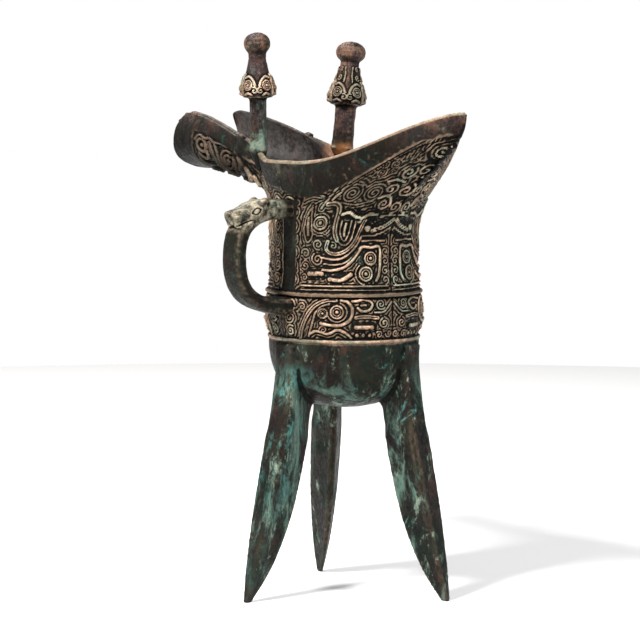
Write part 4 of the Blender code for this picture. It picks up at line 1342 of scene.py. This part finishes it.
class Paint:
    """Builds one material's nodes, with short calls for the kinds it uses."""

    def __init__(self, name, colour):
        self.material = bpy.data.materials.new(name)
        self.material.use_nodes = True
        self.tree = self.material.node_tree
        self.shader = self.tree.nodes["Principled BSDF"]
        self.place = self.tree.nodes.new("ShaderNodeTexCoord").outputs["Object"]
        split = self.node("ShaderNodeSeparateXYZ")
        self.link(self.place, split.inputs["Vector"])
        self.axes = split.outputs
        self.colour = colour

    def node(self, kind, **settings):
        made = self.tree.nodes.new(kind)
        for key, value in settings.items():
            setattr(made, key, value)
        return made

    def link(self, source, target):
        if hasattr(source, "is_output"):
            self.tree.links.new(source, target)
        else:
            target.default_value = source

    def noise(self, scale, detail=7.0, roughness=0.75, stretch=(1, 1, 1), offset=0.0, distortion=0.0):
        mapping = self.node("ShaderNodeMapping")
        mapping.inputs["Scale"].default_value = stretch
        mapping.inputs["Location"].default_value = (offset, offset * 0.7, offset * 1.3)
        self.link(self.place, mapping.inputs["Vector"])
        noise = self.node("ShaderNodeTexNoise")
        noise.inputs["Scale"].default_value = scale
        noise.inputs["Detail"].default_value = detail
        noise.inputs["Roughness"].default_value = roughness
        noise.inputs["Distortion"].default_value = distortion
        self.link(mapping.outputs["Vector"], noise.inputs["Vector"])
        return noise.outputs["Fac"]

    def ramp(self, value, low, high):
        """Rises from 0 at low to 1 at high."""
        made = self.node("ShaderNodeMapRange", interpolation_type="SMOOTHSTEP")
        made.inputs["From Min"].default_value = low
        made.inputs["From Max"].default_value = high
        self.link(value, made.inputs["Value"])
        return made.outputs["Result"]

    def blotches(self, low, high, scale, *shape, **settings):
        """1 where a noise lies over high, 0 where it lies under low."""
        return self.ramp(self.noise(scale, *shape, **settings), low, high)

    def zone(self, name):
        return self.times(*(self.ramp(self.axes[axis], low, high) for axis, low, high in ZONES[name]))

    def math(self, operation, first, second):
        made = self.node("ShaderNodeMath", operation=operation)
        self.link(first, made.inputs[0])
        self.link(second, made.inputs[1])
        return made.outputs[0]

    def times(self, *shares):
        return functools.reduce(functools.partial(self.math, "MULTIPLY"), shares)

    def most(self, *shares):
        return functools.reduce(functools.partial(self.math, "MAXIMUM"), shares)

    def blend(self, share, first, second):
        made = self.node("ShaderNodeMix", data_type="RGBA")
        self.link(share, made.inputs["Factor"])
        for value, socket in ((first, made.inputs["A"]), (second, made.inputs["B"])):
            self.link(value if hasattr(value, "is_output") else (*value, 1.0), socket)
        return made.outputs["Result"]

    def tint(self, colour, *shares):
        """Lays a colour over what is painted so far."""
        self.colour = self.blend(self.times(*shares), self.colour, colour)

    def by(self, mask, off, on):
        """One value off a mask and another on it."""
        made = self.node("ShaderNodeMix", data_type="FLOAT")
        self.link(mask, made.inputs["Factor"])
        self.link(off, made.inputs["A"])
        self.link(on, made.inputs["B"])
        return made.outputs["Result"]

    def attribute(self, name):
        return self.node("ShaderNodeAttribute", attribute_name=name).outputs["Fac"]

    def bump(self, height, distance, normal=None):
        made = self.node("ShaderNodeBump")
        made.inputs["Distance"].default_value = distance
        self.link(height, made.inputs["Height"])
        if normal is not None:
            self.link(normal, made.inputs["Normal"])
        return made.outputs["Normal"]


def lay_films(paint, plain, posts, inside):
    """The dark bronze's thin brown, olive, green and purple films, and a pale grey on the lining."""
    paint.tint(BROWN_BRONZE, paint.blotches(0.42, 0.6, 36, 7, 0.7))
    paint.tint(OLIVE_FILM, paint.blotches(0.46, 0.6, 58, 7, 0.72, offset=0.4, distortion=0.5), 0.85)
    green = paint.blotches(0.48, 0.6, 46, 7, 0.72, offset=0.9, distortion=0.6)
    green = paint.times(green, paint.by(plain, 0.5, 0.95), paint.by(posts, 1.0, 0.3))
    paint.tint(DARK_GREEN, green)
    paint.tint(PURPLE_FILM, paint.blotches(0.42, 0.56, 64, 6, 0.7, offset=2.3), paint.by(posts, 0.1, 0.85))
    # A pale grey over the lining, in patches.
    paint.tint(INNER_PALE_GREY, inside, paint.blotches(0.3, 0.56, 260, offset=1.1))
    paint.tint(COPPER, paint.blotches(0.46, 0.6, 95, stretch=(1, 1, 0.4), offset=4.2), posts, 0.85)
    return green


def lay_crusts(paint, plain):
    """The orange patch at the far post, green streaks down the legs with fewer on the rear leg as painted
    shade, blooms, flecks and red cuprite.
    """
    crust = paint.blotches(0.36, 0.5, 110, 6, 0.7, offset=5.1)
    paint.tint(ORANGE_CRUST, paint.zone("far_foot"), crust, 0.75)
    streaks = paint.blotches(0.5, 0.62, 85, 8, stretch=(1, 1, 0.28), offset=0.5, distortion=0.5)
    # Painted shade: fewer pale streaks on the rear leg.
    streaks = paint.times(streaks, paint.by(paint.zone("shaded_rear_leg"), 1.0, 0.3))
    on_legs = paint.by(paint.zone("legs"), 0.08, 0.95)
    paint.tint(SEA_GREEN, streaks, paint.most(on_legs, paint.times(paint.zone("near_shaft"), 0.9)))
    # Pale mint patina with a painted highlight on the near post's foot.
    paint.tint(PALE_MINT, paint.zone("near_foot"), paint.blotches(0.42, 0.58, 160, offset=3.6), 0.7)
    bright = paint.blotches(0.48, 0.6, 120, stretch=(1, 1, 0.5), offset=6.3)
    paint.tint(TURQUOISE, bright, paint.zone("handle_leg"), paint.by(paint.zone("over_feet"), 0.1, 0.75))
    blooms = paint.blotches(0.6, 0.7, 95, 7, 0.78, offset=0.15, distortion=0.5)
    blooms = paint.times(blooms, paint.by(plain, 0.35, 0.85))
    paint.tint(TURQUOISE, blooms)
    flecks = paint.blotches(0.56, 0.66, 150, 7, 0.8, stretch=(1, 1, 0.45), offset=1.9, distortion=0.3)
    paint.tint(PALE_MINT, flecks, paint.by(plain, 0.1, 0.7))
    paint.tint(CUPRITE, paint.blotches(0.57, 0.68, 85, 6, 0.7, offset=0.3), 0.5)
    return blooms


def lay_wear_and_painted_light(paint, plain, posts, inside):
    """Painted shade in the hollows, and wear with a painted highlight on the crests, brightest on the bold
    relief and the head; painted shade on the spout.
    """
    crest = paint.attribute("crest")
    handle, head, spout = paint.zone("handle"), paint.zone("head"), paint.zone("spout")
    shaded_spout_underside = paint.zone("shaded_spout_underside")
    outside = paint.by(inside, 1.0, 0.08)
    paint.tint(DARK_BRONZE, paint.by(paint.most(plain, posts, inside), 0.4, 0.0))
    # Painted shade: near black in the relief's hollows, faint inside the bowl.
    paint.tint(HOLLOW_SHADE, paint.ramp(crest, 0.05, -0.5), outside, 0.92)
    # Wear and a painted highlight: a brown on the crests, faint on the plain bowl, the handle and the
    # spout.
    worn_and_highlit = paint.times(paint.ramp(crest, 0.12, 0.5), outside, paint.by(plain, 0.6, 0.03))
    paint.tint(WORN_BROWN_HIGHLIGHT, worn_and_highlit, paint.by(handle, 1.0, 0.4), paint.by(spout, 1.0, 0.4))
    # Wear and a painted highlight: the bronze's colour on the crests, broken up by noise, weaker on thin
    # lines, plain parts, the spout, the far cap and the handle.
    rubbed_and_highlit = paint.times(
        paint.ramp(crest, 0.2, 0.85),
        paint.blotches(0.36, 0.56, 110, offset=0.6),
        paint.by(paint.blotches(0.4, 0.58, 360, 5, 0.7, offset=7.7), 0.35, 1.0),
        outside,
        paint.by(plain, 0.95, 0.07),
        paint.by(paint.attribute("fine"), 1.0, 0.35),
        paint.by(spout, 1.0, 0.3),
        paint.by(shaded_spout_underside, 1.0, 0.2),
        paint.by(paint.zone("far_cap"), 1.0, 0.35),
        paint.by(handle, 1.0, 0.45),
    )
    # Cream crust with a painted highlight on the head, off its hollows.
    crust = paint.blotches(0.42, 0.62, 150, 8, 0.8, offset=2.7, distortion=0.4)
    rubbed_and_highlit = paint.most(rubbed_and_highlit, paint.times(head, crust, 0.62, paint.ramp(crest, -0.4, 0.1)))
    # The painted highlight's colours: pale mint, pale soil and the bronze's own.
    sheen = paint.blend(paint.blotches(0.42, 0.58, 70, 4, 0.6, offset=3.1), PALE_MINT, PALE_SOIL_SHEEN)
    bare_and_highlit = paint.blend(paint.blotches(0.44, 0.56, 42, 4, 0.6, offset=1.7), sheen, RUBBED_BRONZE_HIGHLIGHT)
    paint.tint(paint.blend(paint.times(head, 0.8), bare_and_highlit, CREAM_CRUST_HIGHLIGHT), rubbed_and_highlit)
    # Painted shade: the spout darkened, and its underside more.
    paint.tint(DARK_BRONZE, spout, 0.35)
    paint.tint(DARK_BRONZE, shaded_spout_underside, 0.5)
    return rubbed_and_highlit


def patina():
    """The bronze: films, crusts, wear, painted highlights and painted shade, duller where it is green,
    more metallic where the crests are highlit.
    """
    paint = Paint("patinated_bronze", DARK_BRONZE)
    plain, posts, inside = paint.zone("plain"), paint.zone("posts"), paint.attribute("inside")
    green = lay_films(paint, plain, posts, inside)
    blooms = lay_crusts(paint, plain)
    rubbed_and_highlit = lay_wear_and_painted_light(paint, plain, posts, inside)
    shine = paint.by(paint.blotches(0.3, 0.7, 900, 3, 0.6), 0.34, 0.52)
    paint.link(paint.colour, paint.shader.inputs["Base Color"])
    paint.link(paint.by(paint.most(green, blooms), shine, 0.65), paint.shader.inputs["Roughness"])
    paint.link(paint.by(rubbed_and_highlit, 0.3, 0.6), paint.shader.inputs["Metallic"])
    paint.shader.inputs["IOR"].default_value = 1.15
    pits = paint.bump(paint.noise(420, 6, offset=0.2), 0.0007)
    paint.link(paint.bump(paint.noise(110, 7, 0.7), 0.0013, pits), paint.shader.inputs["Normal"])
    return paint.material


# The studio.


def add_area(name, azimuth, elevation, distance, size, power, colour=(1, 1, 1)):
    lamp = bpy.data.lights.new(name, "AREA")
    lamp.size, lamp.energy, lamp.color = size, power, colour
    made = bpy.data.objects.new(name, lamp)
    bpy.context.scene.collection.objects.link(made)
    turn, rise = math.radians(azimuth), math.radians(elevation)
    away = Vector((math.sin(turn) * math.cos(rise), -math.cos(turn) * math.cos(rise), math.sin(rise)))
    made.location = away * distance + Vector((0, 0, 0.12))
    made.rotation_euler = away.to_track_quat("Z", "Y").to_euler()


FLOOR_RADIUS = 0.9


def make_floor():
    builder = bmesh.new()
    bmesh.ops.create_circle(builder, cap_ends=True, segments=96, radius=FLOOR_RADIUS)
    mesh = bpy.data.meshes.new("floor")
    builder.to_mesh(mesh)
    builder.free()
    floor = bpy.data.objects.new("floor", mesh)
    bpy.context.scene.collection.objects.link(floor)
    paint = bpy.data.materials.new("pale_floor")
    paint.use_nodes = True
    paint.node_tree.nodes["Principled BSDF"].inputs["Base Color"].default_value = (0.7, 0.7, 0.7, 1)
    paint.node_tree.nodes["Principled BSDF"].inputs["Roughness"].default_value = 0.9
    mesh.materials.append(paint)
    floor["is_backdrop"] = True


def make_studio():
    """A white room whose walls are bright to the eye but light the cup only softly."""
    world = bpy.data.worlds.new("studio")
    world.use_nodes = True
    nodes, links = world.node_tree.nodes, world.node_tree.links
    nodes["Background"].inputs["Color"].default_value = (1, 1, 1, 1)
    seen = nodes.new("ShaderNodeLightPath")
    strength = nodes.new("ShaderNodeMapRange")
    strength.inputs["To Min"].default_value = 0.36
    strength.inputs["To Max"].default_value = 1.0
    links.new(seen.outputs["Is Camera Ray"], strength.inputs["Value"])
    links.new(strength.outputs["Result"], nodes["Background"].inputs["Strength"])
    bpy.context.scene.world = world
    bpy.context.scene.view_settings.view_transform = "Standard"
    make_floor()
    add_area("key", 12, 50, 1.1, 0.22, 32)
    add_area("side", 110, 35, 1.0, 0.2, 9, (0.95, 0.97, 1.0))
    add_area("back", -110, 45, 1.0, 0.3, 5, (1.0, 0.96, 0.92))


CAMERA_AZIMUTH = math.radians(54)
CAMERA_DISTANCE = 1.2184
CAMERA_HEIGHT = 0.2168
CAMERA_SCALE = 3046  # pixels that a length equal to its distance takes up
FRAME = 640
AXIS_COLUMN = 343.8  # where the bowl's axis stands in the picture
HORIZON_ROW = 51.5


def make_camera():
    camera = bpy.data.objects.new("camera", bpy.data.cameras.new("camera"))
    bpy.context.scene.collection.objects.link(camera)
    out = Vector((math.sin(CAMERA_AZIMUTH), -math.cos(CAMERA_AZIMUTH), 0))
    camera.location = out * CAMERA_DISTANCE + Vector((AXIS[0], AXIS[1], CAMERA_HEIGHT))
    yaw = math.atan((FRAME / 2 - AXIS_COLUMN) / CAMERA_SCALE)
    pitch = math.atan((HORIZON_ROW - FRAME / 2) / CAMERA_SCALE * math.cos(yaw))
    right = Vector((math.cos(CAMERA_AZIMUTH), math.sin(CAMERA_AZIMUTH), 0))
    level = -out * math.cos(yaw) + right * math.sin(yaw)
    look = level * math.cos(pitch) + Vector((0, 0, math.sin(pitch)))
    camera.rotation_euler = look.to_track_quat("-Z", "Y").to_euler()
    camera.data.sensor_width = 36
    camera.data.lens = CAMERA_SCALE / math.cos(pitch) * 36 / FRAME
    bpy.context.scene.camera = camera


low_corner, high_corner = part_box("libation_cup")
AXIS = np.array([low_corner[0] + SPOUT_LENGTH + SPOUT_NOSE, high_corner[1] - RIM_HALF_WIDTH, 0.0])

make_camera()
make_studio()
bronze = patina()
band, sharp = make_band()
finish_piece(band, bronze, sharp, COLUMNS)
wall, sharp = make_upper_wall()
finish_piece(wall, bronze, sharp, COLUMNS)
spout, spout_columns = make_spout()
finish_piece(spout, bronze, (0,), spout_columns)
finish_piece(make_lower_body(), bronze)
finish_piece(make_handle(), bronze)
finish_piece(make_post(0, -1), bronze)
finish_piece(make_post(1, 1), bronze)

boxes = {"cad": cad_bounds, "visual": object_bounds()}
boxes = {name: [list(corner) for corner in corners] for name, corners in boxes.items()}
